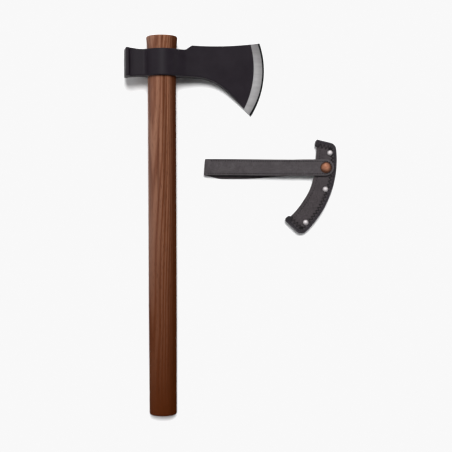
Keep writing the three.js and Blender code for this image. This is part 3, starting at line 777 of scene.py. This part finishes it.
def makeHaft():
    top = (haftTop - eyeMiddle).dot(haftUp) / mm
    butt = (haftButt - eyeMiddle).dot(haftUp) / mm
    halfEye, buttRadius, topRadius = head["halfEye"], haft["buttRadius"], haft["topRadius"]
    buttRound, topRound = haft["buttRound"], haft["topRound"]
    # the flat of the butt and its rounding
    profile = [((buttRadius - buttRound) * share, butt) for share in (0.1, 0.4, 0.7, 0.95)]
    for i in range(9):
        a = math.radians(11.25 * i)
        profile.append((buttRadius - buttRound * (1 - math.sin(a)), butt + buttRound * (1 - math.cos(a))))
    for i in range(1, 61):
        share = i / 60
        if share < haft["swellAt"]:
            radius = lerp(buttRadius, haft["swell"], ease(share / haft["swellAt"]))
        else:
            radius = lerp(haft["swell"], head["eyeBottom"], (share - haft["swellAt"]) / (1 - haft["swellAt"]))
        profile.append((radius, lerp(butt + buttRound, -halfEye, share)))
    profile += tapered((head["eyeBottom"], -halfEye), (head["eyeTop"], halfEye), 10)
    profile += tapered((head["eyeTop"], halfEye), (topRadius, top - topRound), 8)
    for i in range(1, 9):
        a = math.radians(11.25 * i)
        profile.append((topRadius - topRound * (1 - math.cos(a)), top - topRound * (1 - math.sin(a))))
    profile += [((topRadius - topRound) * share, top) for share in (0.9, 0.6, 0.3, 0.05)]
    piece = meshObject("haftTurned", turned(profile, haft["segments"], "Y"), [stainedWood], axePlace)
    return finished(piece, "axe", "stained_wood", "haft")


axeHead = makeHead()
haftTurned = makeHaft()
print("axe made")


# the sheath: x away from the mouth, y towards its top end, from the centre of its arcs
sheath = {
    "rivetInset": 8.1,
    "firstRivet": 17.8,  # degrees
    "width": 27.0,
    "top": 50.2,
    "bottom": 13.6,
    "corner": 9.0,
    "slant": -30.5,  # degrees
    "mouthTangent": 9.5,  # degrees
    "edgeRound": 0.55,
    "pillow": 0.45,
    "hemInset": 4.2,
    "hemDrawn": 0.28,
    "rivetPress": 0.3,
    "sag": 0.9,
}


def circleCentre(a, b, c):
    # through three points in plan
    d = 2 * (a.x * (b.y - c.y) + b.x * (c.y - a.y) + c.x * (a.y - b.y))
    sa, sb, sc = a.length_squared, b.length_squared, c.length_squared
    return Vector(((sa * (b.y - c.y) + sb * (c.y - a.y) + sc * (a.y - b.y)) / d,
                   (sa * (c.x - b.x) + sb * (a.x - c.x) + sc * (b.x - a.x)) / d))


rivetSpots = [boxMiddle(f"sheath_rivet_{i}").to_2d() for i in (1, 2, 3)]
arcCentre = circleCentre(*rivetSpots)
firstReach = rivetSpots[0] - arcCentre
sheathTurn = math.atan2(firstReach.y, firstReach.x) - math.radians(sheath["firstRivet"])
sheathPlace = Matrix.Translation(arcCentre.to_3d()) @ Matrix.Rotation(sheathTurn, 4, "Z")
outerRadius = firstReach.length / mm + sheath["rivetInset"]
mouthRadius = outerRadius - sheath["width"]
backLow, backHigh = levels("sheath_back_panel")
frontLow, frontHigh = levels("sheath_front_panel")


def inSheath(point):
    # from the row's frame in metres to the sheath's own millimetres
    return (sheathPlace.inverted() @ point.to_3d()).to_2d() / mm


def endInset(x, y, line, turn, side, inset=0.0):
    # how far inside one end of the outline a point is; the end is a straight line with a round corner
    corner = sheath["corner"] - inset
    point = Matrix.Rotation(-math.radians(turn), 2) @ Vector((x, y))
    height = point.y * side
    centreHeight = line - sheath["corner"]
    centreReach = math.sqrt((outerRadius - sheath["corner"]) ** 2 - centreHeight ** 2)
    if point.x > centreReach and height > centreHeight:
        return corner - math.hypot(point.x - centreReach, height - centreHeight)
    return line - inset - height


def topInset(x, y, inset=0.0):
    return endInset(x, y, sheath["top"], 0, 1, inset)


def bottomInset(x, y, inset=0.0):
    return endInset(x, y, sheath["bottom"], sheath["slant"], -1, inset)


def mouthReach(degrees):
    # the mouth is an arc, then its own tangent towards the top, and it sags open lower down
    past = math.radians(max(degrees - sheath["mouthTangent"], 0))
    return mouthRadius / math.cos(past) - sheath["sag"] * ease((-degrees - 8) / 12)


def sheathPoint(row, degrees, inset=0.0):
    return polar(lerp(mouthReach(degrees) + inset, outerRadius - inset, row), degrees)


def endAngle(row, test, far, inset):
    # the angle at which a row of the grid meets an end of the outline
    inside, outside = -8.0, far
    for _ in range(26):
        middle = (inside + outside) / 2
        if test(*sheathPoint(row, middle, inset), inset) > 0:
            inside = middle
        else:
            outside = middle
    return inside


def sheathGrid(inset, columns=130):
    # rows from the mouth to the outer border, close together near it, where the corners are
    cornerShare = sheath["corner"] / sheath["width"]
    rows = [i / 12 * (1 - cornerShare) for i in range(13)]
    rows += [1 - cornerShare * (1 - math.sin(math.radians(90 * i / 12))) for i in range(1, 13)]
    grid = []
    for row in rows:
        low, high = endAngle(row, bottomInset, -48, inset), endAngle(row, topInset, 34, inset)
        grid.append([sheathPoint(row, lerp(low, high, i / columns), inset) for i in range(columns + 1)])
    return grid


def rimOf(grid):
    # indices of the outline, once round
    rows, columns = len(grid), len(grid[0])
    rim = [(0, j) for j in range(columns)] + [(i, columns - 1) for i in range(1, rows)]
    rim += [(rows - 1, j) for j in range(columns - 2, -1, -1)]
    return rim + [(i, 0) for i in range(rows - 2, 0, -1)]


def makePanel(name, low, high, relief, node, up):
    # a leather panel with burnished round edges; up is the side that shows
    edge = sheath["edgeRound"]
    grid = sheathGrid(edge)
    rows, columns = len(grid), len(grid[0])
    rim = rimOf(grid)
    verts, faces = [], []
    for level, side in ((high, 1), (low, -1)):
        for line in grid:
            for point in line:
                lift = relief(point) if side == up else 0
                verts.append((point.x, point.y, level + lift * side))
        start = 0 if side == 1 else rows * columns
        for i in range(rows - 1):
            for j in range(columns - 1):
                corner = start + i * columns + j
                faces.append((corner, corner + 1, corner + columns + 1, corner + columns))
    rings = [[i * columns + j for i, j in rim]]
    for level, side, turn in ((high, -1, (30, 60, 90)), (low, 1, (90, 60, 30))):
        for a in turn:
            around = polar(edge, a)
            ringGrid = sheathGrid(edge - around.y)
            start = len(verts)
            verts += [(*ringGrid[i][j], level + side * (edge - around.x)) for i, j in rim]
            rings.append(list(range(start, start + len(rim))))
    rings.append([rows * columns + i * columns + j for i, j in rim])
    for upper, lower in zip(rings, rings[1:]):
        for k in range(len(rim)):
            n = (k + 1) % len(rim)
            faces.append((upper[k], upper[n], lower[n], lower[k]))
    piece = meshObject(name, (verts, faces), [charcoalLeather], sheathPlace)
    return finished(piece, "sheath", "charcoal_leather", node)


def borderDistance(point):
    return min(outerRadius - point.length, topInset(*point), bottomInset(*point))


def mouthDistance(point):
    return point.length - mouthReach(math.degrees(math.atan2(point.y, point.x)))


def panelRelief(point):
    # swells a little between the border and the hem, and is drawn in under the hem's stitches
    inFromBorder, inFromMouth = borderDistance(point), mouthDistance(point)
    swell = sheath["pillow"] * ease((inFromBorder - 6) / 7) * ease((inFromMouth - 2) / 6)
    drawn = sheath["hemDrawn"] * math.exp(-((inFromMouth - sheath["hemInset"]) / 0.8) ** 2)
    wander = 0.12 * math.sin(point.x * 0.19 + 1.3) * math.sin(point.y * 0.16 - 0.4)
    pressed = 0.0
    for spot in rivetSpots:
        pressed += sheath["rivetPress"] * math.exp(-((point - inSheath(spot)).length / 4.6) ** 4)
    return swell + wander * ease(inFromBorder / 10) - drawn - pressed


def borderRun(step=1.2):
    # points on the border's line, from the mouth's top corner round to its bottom one
    corner = sheath["corner"]
    topHeight = sheath["top"] - corner
    topReach = math.sqrt((outerRadius - corner) ** 2 - topHeight ** 2)
    topAngle = math.degrees(math.atan2(topHeight, topReach))
    lowHeight = sheath["bottom"] - corner
    lowReach = math.sqrt((outerRadius - corner) ** 2 - lowHeight ** 2)
    lowAngle = sheath["slant"] - math.degrees(math.atan2(lowHeight, lowReach))
    slantTurn = Matrix.Rotation(math.radians(sheath["slant"]), 2)
    leave = polar(mouthRadius, sheath["mouthTangent"])
    mouthTop = leave.x - (sheath["top"] - leave.y) * math.tan(math.radians(sheath["mouthTangent"]))
    mouthLow = math.sqrt(mouthRadius ** 2 - sheath["bottom"] ** 2)
    run = []

    def straight(start, end):
        count = max(2, round((end - start).length / step))
        run.extend(start.lerp(end, i / count) for i in range(count))

    def arc(centre, radius, fromAngle, toAngle):
        count = max(3, round(abs(math.radians(toAngle - fromAngle)) * radius / step))
        run.extend(centre + polar(radius, lerp(fromAngle, toAngle, i / count)) for i in range(count))

    straight(Vector((mouthTop, sheath["top"])), Vector((topReach, sheath["top"])))
    arc(Vector((topReach, topHeight)), corner, 90, topAngle)
    arc(Vector((0, 0)), outerRadius, topAngle, lowAngle)
    arc(slantTurn @ Vector((lowReach, -lowHeight)), corner, lowAngle, sheath["slant"] - 90)
    end = slantTurn @ Vector((mouthLow, -sheath["bottom"]))
    straight(slantTurn @ Vector((lowReach, -sheath["bottom"])), end)
    run.append(end)
    return run


tape = {"width": 3.7, "proud": 0.55, "outside": 0.8, "lug": 1.1}
borderPoints = borderRun()
borderLengths = pathLengths(borderPoints)


def borderAt(distance, inset):
    # a point on the border line moved inwards, where the line runs on past both of its ends
    spill = min(distance, 0) + max(distance - borderLengths[-1], 0)
    point, ahead = alongPath(borderPoints, borderLengths, distance)
    outward = Vector((-ahead.y, ahead.x))
    return point + ahead * spill - outward * inset


def makeBorderTape():
    # woven tape folded over the edge of all the layers
    width, proud, outside = tape["width"], tape["proud"], tape["outside"]
    top, low = frontHigh + proud, backLow - proud
    section = [(width, frontHigh + 0.05), (width - 0.1, frontHigh + proud * 0.7), (width - 0.5, top)]
    section += [(lerp(width - 0.5, 0.6, i / 5), top + 0.06 * (i % 2)) for i in range(1, 6)]
    section += [(0.0, top - 0.12), (-0.35, top - 0.45), (-outside, top - 1.1)]
    section += [(-outside, lerp(top - 1.1, low + 1.1, i / 4)) for i in range(1, 4)]
    section += [(-outside, low + 1.1), (-0.35, low + 0.45), (0.0, low + 0.12)]
    section += [(lerp(0.6, width - 0.5, i / 5), low) for i in range(6)]
    section += [(width - 0.1, backLow - proud * 0.7), (width, backLow - 0.05)]
    section += [(width - 0.1, backLow - 0.02), (0.1, backLow - 0.02)]
    section += [(0.1, frontHigh + 0.02), (width - 0.1, frontHigh + 0.02)]
    total = borderLengths[-1]
    count = 240
    loops = []
    for i in range(count + 1):
        distance = lerp(-tape["lug"], total + tape["lug"], i / count)
        wobble = 0.12 * math.sin(distance * 1.9) + 0.08 * math.sin(distance * 4.3 + 1)
        loops.append([(*borderAt(distance, inset + (wobble if inset > 3 else 0)), z) for inset, z in section])
    piece = meshObject("sheathBorderTape", lofted(loops), [borderTape], sheathPlace, sharpAngle=60)
    return finished(piece, "sheath", "black_border", "sheath_edge_binding")


def arched(low, rise):
    # five places along a stitch, from 0 to 1, and how high the thread lies at each
    return [(i / 4, low + rise * math.sin(math.pi * i / 4)) for i in range(5)]


seam = {
    "thread": 0.52,
    "pitch": 4.9,
    "inner": 7.9,
    "endInner": 9.8,
    "outer": 3.2,
    "row": 1.9,
    "rowPitch": 3.2,
    "rowStitch": 0.74,  # of the pitch
    "lift": 0.12,
    "rise": 0.35,
    "rowSink": 0.2,
    "rowRise": 0.42,
}


def makeSeams(name, level, side, node):
    # a zigzag over the tape's inner edge and a straight row along the tape
    shapes = []
    total = borderLengths[-1]
    count = int(total / seam["pitch"])
    for i in range(count):
        start = (i + 0.1) * total / count
        fromEnd = min(start, total - start)
        inner = lerp(seam["endInner"], seam["inner"], ease((fromEnd - 18) / 8)) + random.uniform(-0.3, 0.3)
        for half, fromInset, toInset in ((0.0, seam["outer"], inner), (0.5, inner, seam["outer"])):
            points = []
            for t, lift in arched(seam["lift"], seam["rise"]):
                along = start + (half + t / 2) * total / count + random.uniform(-0.05, 0.05)
                inset = lerp(fromInset, toInset, t)
                overTape = tape["proud"] if inset < tape["width"] else 0.0
                points.append((*borderAt(along, inset), level + side * (lift + overTape)))
            shapes.append(threadTube(points, seam["thread"]))
    rowCount = int(total / seam["rowPitch"])
    for i in range(rowCount):
        start = (i + 0.14) * total / rowCount
        points = []
        for t, lift in arched(tape["proud"] - seam["rowSink"], seam["rowRise"]):
            along = start + t * seam["rowStitch"] * total / rowCount
            points.append((*borderAt(along, seam["row"]), level + side * lift))
        shapes.append(threadTube(points, seam["thread"]))
    piece = meshObject(name, joined(shapes), [blackThread], sheathPlace)
    return finished(piece, "sheath", "black_thread", node)


hem = {
    "pitch": 3.6,
    "length": 2.2,
    "thread": 0.44,
    "sink": 0.16,
    "rise": 0.4,
    "bottom": -36.2,  # degrees
    "top": 24.5,
}


def makeHemStitches():
    # a single row along the mouth of the front panel
    steps = round((hem["top"] - hem["bottom"]) * 2)
    angles = [hem["bottom"] + i / 2 for i in range(steps + 1)]
    line = [polar(mouthReach(angle) + sheath["hemInset"], angle) for angle in angles]
    lengths = pathLengths(line)
    shapes = []
    for i in range(int(lengths[-1] / hem["pitch"])):
        points = []
        for t, lift in arched(-hem["sink"], hem["rise"]):
            point, _ = alongPath(line, lengths, i * hem["pitch"] + t * hem["length"])
            points.append((*point, frontHigh + panelRelief(point) + lift))
        shapes.append(threadTube(points, hem["thread"]))
    piece = meshObject("sheathHemStitches", joined(shapes), [blackThread], sheathPlace)
    return finished(piece, "sheath", "black_thread", "sheath_mouth_thread")


tack = {
    "pitch": 1.2,
    "thread": 0.64,
    "reach": 3.2,
    "past": 2.3,
    "scallop": 0.35,
    "top": (27.1, 6),  # degrees, wraps
    "bottom": (-37.6, 6),
}


def makeMouthTacks():
    # close wraps of thread that tie both ends of the mouth shut
    shapes = []
    for (end, count), direction in ((tack["top"], -1), (tack["bottom"], 1)):
        for i in range(count):
            angle = end + direction * math.degrees((i * tack["pitch"] + 0.4) / mouthRadius)
            edge = polar(mouthReach(angle), angle)
            inward = -polar(1, angle)
            past = tack["past"] - tack["scallop"] * abs(math.cos(i * 1.1))
            past *= 0.6 if i == count - 1 else 1.0
            reach = tack["reach"]
            # how far out of the mouth, and how high, once round the layers
            wrap = [(-reach, frontHigh - 0.1), (-reach * 0.85, frontHigh + 0.5), (-0.4, frontHigh + 0.62),
                    (past * 0.8, frontHigh + 0.1), (past, frontHigh - 1.2), (past, backLow + 1.2),
                    (past * 0.8, backLow - 0.1), (-0.4, backLow - 0.5), (-reach, backLow)]
            shapes.append(threadTube([(*(edge + inward * out), z) for out, z in wrap], tack["thread"], 7))
    piece = meshObject("sheathMouthTacks", joined(shapes), [tackThread], sheathPlace)
    return finished(piece, "sheath", "black_thread")


rivet = {
    "capRadius": 3.7,
    "capRim": 0.7,
    "sunk": 0.45,  # into the tape
    "postRadius": 1.45,
    "backRadius": 3.5,
    "backRim": 0.7,
    "segments": 40,
}


def domed(radius, low, height, rim, steps=10):
    # radius and height pairs from the rim's foot to the crown of a cap
    profile = [(radius - 0.25, low), (radius, low + 0.25), (radius, low + rim)]
    for i in range(1, steps):
        a = math.radians(90 * i / steps)
        profile.append((radius * math.cos(a) ** 0.85, low + rim + (height - rim) * math.sin(a)))
    return profile + [(0.05, low + height)]


def makeRivetPart(name, profile, middle, node):
    shape = turned(profile, rivet["segments"], middle=middle)
    finished(meshObject(name, shape, [nickelPlate], sheathPlace), "sheath", "nickel", node)


def makeRivets():
    post, back = rivet["postRadius"], rivet["backRadius"]
    foot = levels("sheath_edge_binding")[1] - rivet["sunk"]
    for i, spot in enumerate(rivetSpots, 1):
        middle = inSheath(spot)
        low, high = levels(f"sheath_rivet_{i}")
        cap = [(0.05, low), (post, low), (post, foot)]
        cap += domed(rivet["capRadius"], foot, high - foot, rivet["capRim"])
        makeRivetPart(f"rivetCap{i}", cap, middle, f"sheath_rivet_{i}")
        backFoot, backTop = levels(f"sheath_rivet_back_{i}")
        disc = [(0.05, backFoot), (back - 0.9, backFoot), (back - 0.25, backFoot + 0.25),
                (back, backFoot + rivet["backRim"]), (back, backTop), (0.05, backTop)]
        makeRivetPart(f"rivetBack{i}", disc, middle, f"sheath_rivet_back_{i}")


makePanel("sheathFrontPanel", frontLow, frontHigh, panelRelief, "sheath_front_panel", 1)
makePanel("sheathBackPanel", backLow, backHigh, lambda point: 0.0, "sheath_back_panel", -1)
makeBorderTape()
makeSeams("sheathSeamFront", frontHigh, 1, "sheath_seam_thread_front")
makeSeams("sheathSeamBack", backLow, -1, "sheath_seam_thread_back")
makeHemStitches()
makeMouthTacks()
makeRivets()
print("sheath made")


# the strap, along X: out from behind the back panel, round the fold and back over to the snap
fixedLow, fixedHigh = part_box("strap_fixed_run")
foldLow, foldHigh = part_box("strap_fold")
freeLow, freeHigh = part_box("strap_free_run")
snapMiddle = boxMiddle("snap_cap")
strap = {
    "thickness": (fixedHigh.z - fixedLow.z) / mm,
    "halfWidth": (freeHigh.y - freeLow.y) / 2 / mm,
    "foldRadius": (foldHigh.z - foldLow.z) / 2 / mm,
    "rise": 4.4,
    "climb": 24.0,
    "capReach": 8.5,
    "edgeRound": 0.5,
    "crown": 0.16,
    "stitchInset": 2.5,
    "stitchPitch": 3.15,
    "stitchLength": 1.7,
    "stitchStart": 172.0,
    "stitchSink": 0.2,
    "stitchRise": 0.36,
    "thread": 0.58,
    "slant": 0.075,  # of the fold, which the leather never makes quite square
    "slantReach": 38.0,
    "lean": 1.1,  # sideways, of the fold
    "leanReach": 130.0,
    "stray": 4.7,  # sideways, of the run underneath
    "strayRise": 26.0,
    "strayEnd": 135.0,
    "strayFall": 85.0,
    "underSteps": 30,
    "foldSteps": 20,
    "bendStart": 1.0,
    "bendLength": 22.0,
}
strapPlace = Matrix.Translation((snapMiddle.x, snapMiddle.y, 0))
foldReach = (foldHigh.x - snapMiddle.x) / mm
tailReach = (freeHigh.x - snapMiddle.x) / mm
fixedReach = (fixedHigh.x - snapMiddle.x) / mm
strapTop = freeHigh.z / mm - strap["thickness"] / 2


def strapLine():
    # middle of the leather, x and z, with the fixed run first
    half = strap["thickness"] / 2
    radius = strap["foldRadius"] - half
    foldMiddle = Vector((foldReach, foldLow.z / mm + strap["foldRadius"]))
    foldTop = foldMiddle.y + radius
    steps, foldSteps = strap["underSteps"], strap["foldSteps"]
    line = [Vector((lerp(fixedReach, foldReach, i / steps), foldMiddle.y - radius)) for i in range(steps)]
    line += [foldMiddle + polar(radius, 270 - 180 * i / foldSteps) for i in range(foldSteps)]
    panelEnd, low = -strap["capReach"] - strap["climb"], foldTop + strap["rise"]
    for i in range(61):
        x = lerp(foldReach, panelEnd, i / 60)
        line.append(Vector((x, foldTop + strap["rise"] * math.sin(i / 60 * math.pi / 2))))
    for i in range(1, 21):
        line.append(Vector((lerp(panelEnd, -strap["capReach"], i / 20), lerp(low, strapTop, ease(i / 20)))))
    line += [Vector((lerp(-strap["capReach"], tailReach, i / 12), strapTop)) for i in range(1, 13)]
    return line


strapPath = strapLine()
strapLengths = pathLengths(strapPath)
foldDistance = strapLengths[strap["underSteps"] + strap["foldSteps"] // 2]
foldEnd = strapLengths[strap["underSteps"] + strap["foldSteps"]]


def strapSection(distance):
    # where the leather's middle is, which way it faces, and how wide it is there
    point, ahead = alongPath(strapPath, strapLengths, distance)
    before, after = (alongPath(strapPath, strapLengths, distance + d)[0] for d in (-0.6, 0.6))
    ahead = (after - before).normalized() if (after - before).length > 0.2 else ahead
    face = Vector((-ahead.y, ahead.x))
    toTip = strapLengths[-1] - distance
    half = strap["halfWidth"]
    if toTip < half:
        half = math.sqrt(max(half ** 2 - (half - toTip) ** 2, 0.0004))
    return point, face, half


def strapVertex(distance, point, across):
    # the leather lies a little crooked: the fold is slanted and both runs wander sideways
    fromFold = distance - foldDistance
    slanted = strap["slant"] * across * math.exp(-((fromFold / strap["slantReach"]) ** 2))
    if fromFold > 0:
        aside = strap["lean"] * ease(1 - fromFold / strap["leanReach"])
    else:
        rising = ease(-fromFold / strap["strayRise"])
        falling = ease((fromFold + strap["strayEnd"]) / strap["strayFall"])
        aside = strap["lean"] - strap["stray"] * rising * falling
    return (point.x + slanted, across + aside, point.y)


def strapPoint(distance, across, lift):
    # lift is above the leather's face, on the side that shows
    point, face, _ = strapSection(distance)
    return strapVertex(distance, point + face * (strap["thickness"] / 2 + lift), across)


def strapLoops(stations):
    half, edge = strap["thickness"] / 2, strap["edgeRound"]
    loops = []
    for distance in stations:
        point, face, width = strapSection(distance)
        rounding = min(edge, width * 0.5)
        ring = []
        for side, crown in ((1, strap["crown"]), (-1, strap["crown"] / 2)):
            row = []
            for a in (0, 30, 60, 90):
                around = polar(rounding, a)
                row.append((width - rounding + around.x, half - rounding + around.y))
            row += [(lerp(width - rounding, rounding - width, i / 12),
                     half + crown * math.sin(math.pi * i / 12)) for i in range(1, 12)]
            row += [(-across, height) for across, height in reversed(row[:4])]
            ring += [(across * side, height * side) for across, height in row]
        loops.append([strapVertex(distance, point + face * height, -across) for across, height in ring])
    return loops


def makeStrap():
    # the run underneath and the fold stay with the sheath; the run on top is a separate piece
    bend = strapLengths[-1] - strap["halfWidth"]
    under = strapLoops([lerp(0, foldEnd, i / 80) for i in range(81)])
    piece = meshObject("strapUnder", lofted(under), [strapLeather], strapPlace, sharpAngle=50)
    finished(piece, "sheath", "charcoal_leather", "strap_fixed_run", "strap_fold")
    stations = [lerp(foldEnd, bend, i / 90) for i in range(90)]
    stations += [bend + strap["halfWidth"] * math.sin(math.radians(90 * i / 16)) for i in range(17)]
    piece = meshObject("strapOver", lofted(strapLoops(stations)), [strapLeather], strapPlace, sharpAngle=50)
    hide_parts("strap_free_run")
    bendStrap(piece)


def bendStrap(piece):
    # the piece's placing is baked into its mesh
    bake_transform(piece)


def makeStrapStitches():
    total = strapLengths[-1]
    inset = strap["halfWidth"] - strap["stitchInset"]
    bend = total - strap["halfWidth"]
    # the row runs up one edge, round the tip and back
    start = strap["stitchStart"]
    flat = [Vector((lerp(start, bend, i / 150), -inset)) for i in range(150)]
    flat += [Vector((bend, 0)) + polar(inset, a) for a in range(-90, 90, 4)]
    flat += [Vector((lerp(bend, start, i / 150), inset)) for i in range(151)]
    lengths = pathLengths(flat)
    shapes = []
    for i in range(int(lengths[-1] / strap["stitchPitch"])):
        points = []
        for t, lift in arched(-strap["stitchSink"], strap["stitchRise"]):
            spot, _ = alongPath(flat, lengths, i * strap["stitchPitch"] + t * strap["stitchLength"])
            points.append(strapPoint(spot.x, spot.y, lift))
        shapes.append(threadTube(points, strap["thread"]))
    piece = meshObject("strapStitches", joined(shapes), [blackThread], strapPlace)
    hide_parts("strap_stitching")
    bendStrap(piece)


snap = {
    "capRadius": 7.5,
    "domeRadius": 6.9,
    "capRim": 0.6,
    "barrel": 1.8,
    "segments": 72,
}


def makeSnap():
    low, high = levels("snap_cap")
    foot = freeHigh.z / mm + 0.12
    crown = high - foot
    radius, rim, dome = snap["capRadius"], snap["capRim"], snap["domeRadius"]
    cap = [(0.05, low), (snap["barrel"], low), (snap["barrel"], foot), (radius - 0.4, foot),
           (radius - 0.08, foot + 0.15), (radius, foot + 0.4), (radius - 0.15, foot + rim),
           (dome + 0.25, foot + rim), (dome + 0.05, foot + rim - 0.12)]
    for i in range(1, 18):
        a = math.radians(90 * i / 18)
        cap.append((dome * math.cos(a) ** 0.8, foot + rim - 0.1 + (crown - rim + 0.1) * math.sin(a)))
    cap.append((0.05, high))
    # the rim outside the dome is darker
    paint = []
    for reach, _ in cap[:-1]:
        paint += [1 if reach > dome else 0] * snap["segments"]
    piece = meshObject("snapCap", turned(cap, snap["segments"]), [copperPlate, darkRimCopper], strapPlace,
                       paint + [0, 0])
    finished(piece, "strap_flap", "copper_plate", "snap_cap")


makeStrap()
makeStrapStitches()
makeSnap()
# these keep the frame's own shape and only get their finish
for node, material in (("sheath_welt", weltLeather), ("snap_socket", nickelPlate), ("snap_stud", nickelPlate),
                       ("snap_post", nickelPlate)):
    part = frame["nodes"][node]
    part.material_slots[0].link = "OBJECT"
    part.material_slots[0].material = material
print("strap and snap made")


# floor, light and camera
studio = {
    "paper": (0.85, 0.85, 0.85, 1),
    "fibre": (0.8, 0.8, 0.8, 1),
    "height": 1.532,  # of the camera over the floor
    "across": 0.0848,  # from the eye
    "down": 0.2148,
    "lens": 90.9,
    "sensor": 36.0,
    "cove": 3000.0,  # where the paper starts to rise
    "coveRise": 1400.0,
    "coveOut": 2600.0,
    "coveSides": 72,
    "keyLight": ((-0.06, -0.33, -1.0), 4.1, 21),  # where it shines to, its strength, its spread in degrees
    "sideLight": ((1.0, -0.25, -0.62), 1.4, 60),
    "roomColour": (0.93, 0.95, 1.0, 1),
    "roomStrength": 0.09,
    "white": 0.94,
}


def makeFloor():
    material, tree, shader, spot = newMaterial("palePaper", Roughness=0.9, Specular_IOR_Level=0.1)
    fibre = placedGroup(tree, mottle, {"Vector": spot, "Scale": 900.0, "Low": 0.2, "High": 0.8})["Mask"]
    colour = blended(tree, maths(tree, "MULTIPLY", fibre, 0.012), studio["paper"], studio["fibre"])
    tree.links.new(colour, shader.inputs["Base Color"])
    # flat underneath, then swept up all round
    rings = [(studio["cove"], 0.0)]
    for i in range(1, 13):
        a = math.radians(90 * i / 12)
        radius = studio["cove"] + studio["coveOut"] * math.sin(a)
        rings.append((radius, studio["coveRise"] * (1 - math.cos(a))))
    sides = studio["coveSides"]
    loops = [[(*polar(radius, 360 * i / sides), height) for i in range(sides)] for radius, height in rings]
    verts, faces = lofted(loops, capped=False)
    faces.append(tuple(reversed(range(sides))))
    floor = meshObject("floor", (verts, faces), [material], Matrix.Translation((0, 0, -0.0001)))


def makeSun(name):
    towards, strength, spread = studio[name]
    light = bpy.data.lights.new(name, "SUN")
    light.energy, light.angle = strength, math.radians(spread)
    lamp = bpy.data.objects.new(name, light)
    bpy.context.scene.collection.objects.link(lamp)
    lamp.rotation_euler = (-Vector(towards)).to_track_quat("Z", "Y").to_euler()


def makeCamera():
    camera = bpy.data.objects.new("camera", bpy.data.cameras.new("camera"))
    bpy.context.scene.collection.objects.link(camera)
    camera.data.sensor_width, camera.data.lens = studio["sensor"], studio["lens"]
    camera.location = (eyeMiddle.x + studio["across"], eyeMiddle.y - studio["down"], studio["height"])
    bpy.context.scene.camera = camera


def makeRoomLight():
    world = bpy.data.worlds.new("softRoom")
    world.use_nodes = True
    background = world.node_tree.nodes["Background"]
    background.inputs["Color"].default_value = studio["roomColour"]
    background.inputs["Strength"].default_value = studio["roomStrength"]
    bpy.context.scene.world = world


def holdWhite():
    # the paper is a little over exposed, and its white is held just under full white
    view = bpy.context.scene.view_settings
    view.view_transform = "Standard"
    view.use_curve_mapping = True
    view.curve_mapping.extend = "HORIZONTAL"
    view.curve_mapping.curves[3].points[1].location = (1.0, studio["white"])
    view.curve_mapping.update()


makeFloor()
makeSun("keyLight")
makeSun("sideLight")
makeRoomLight()
holdWhite()
makeCamera()
print("studio made")
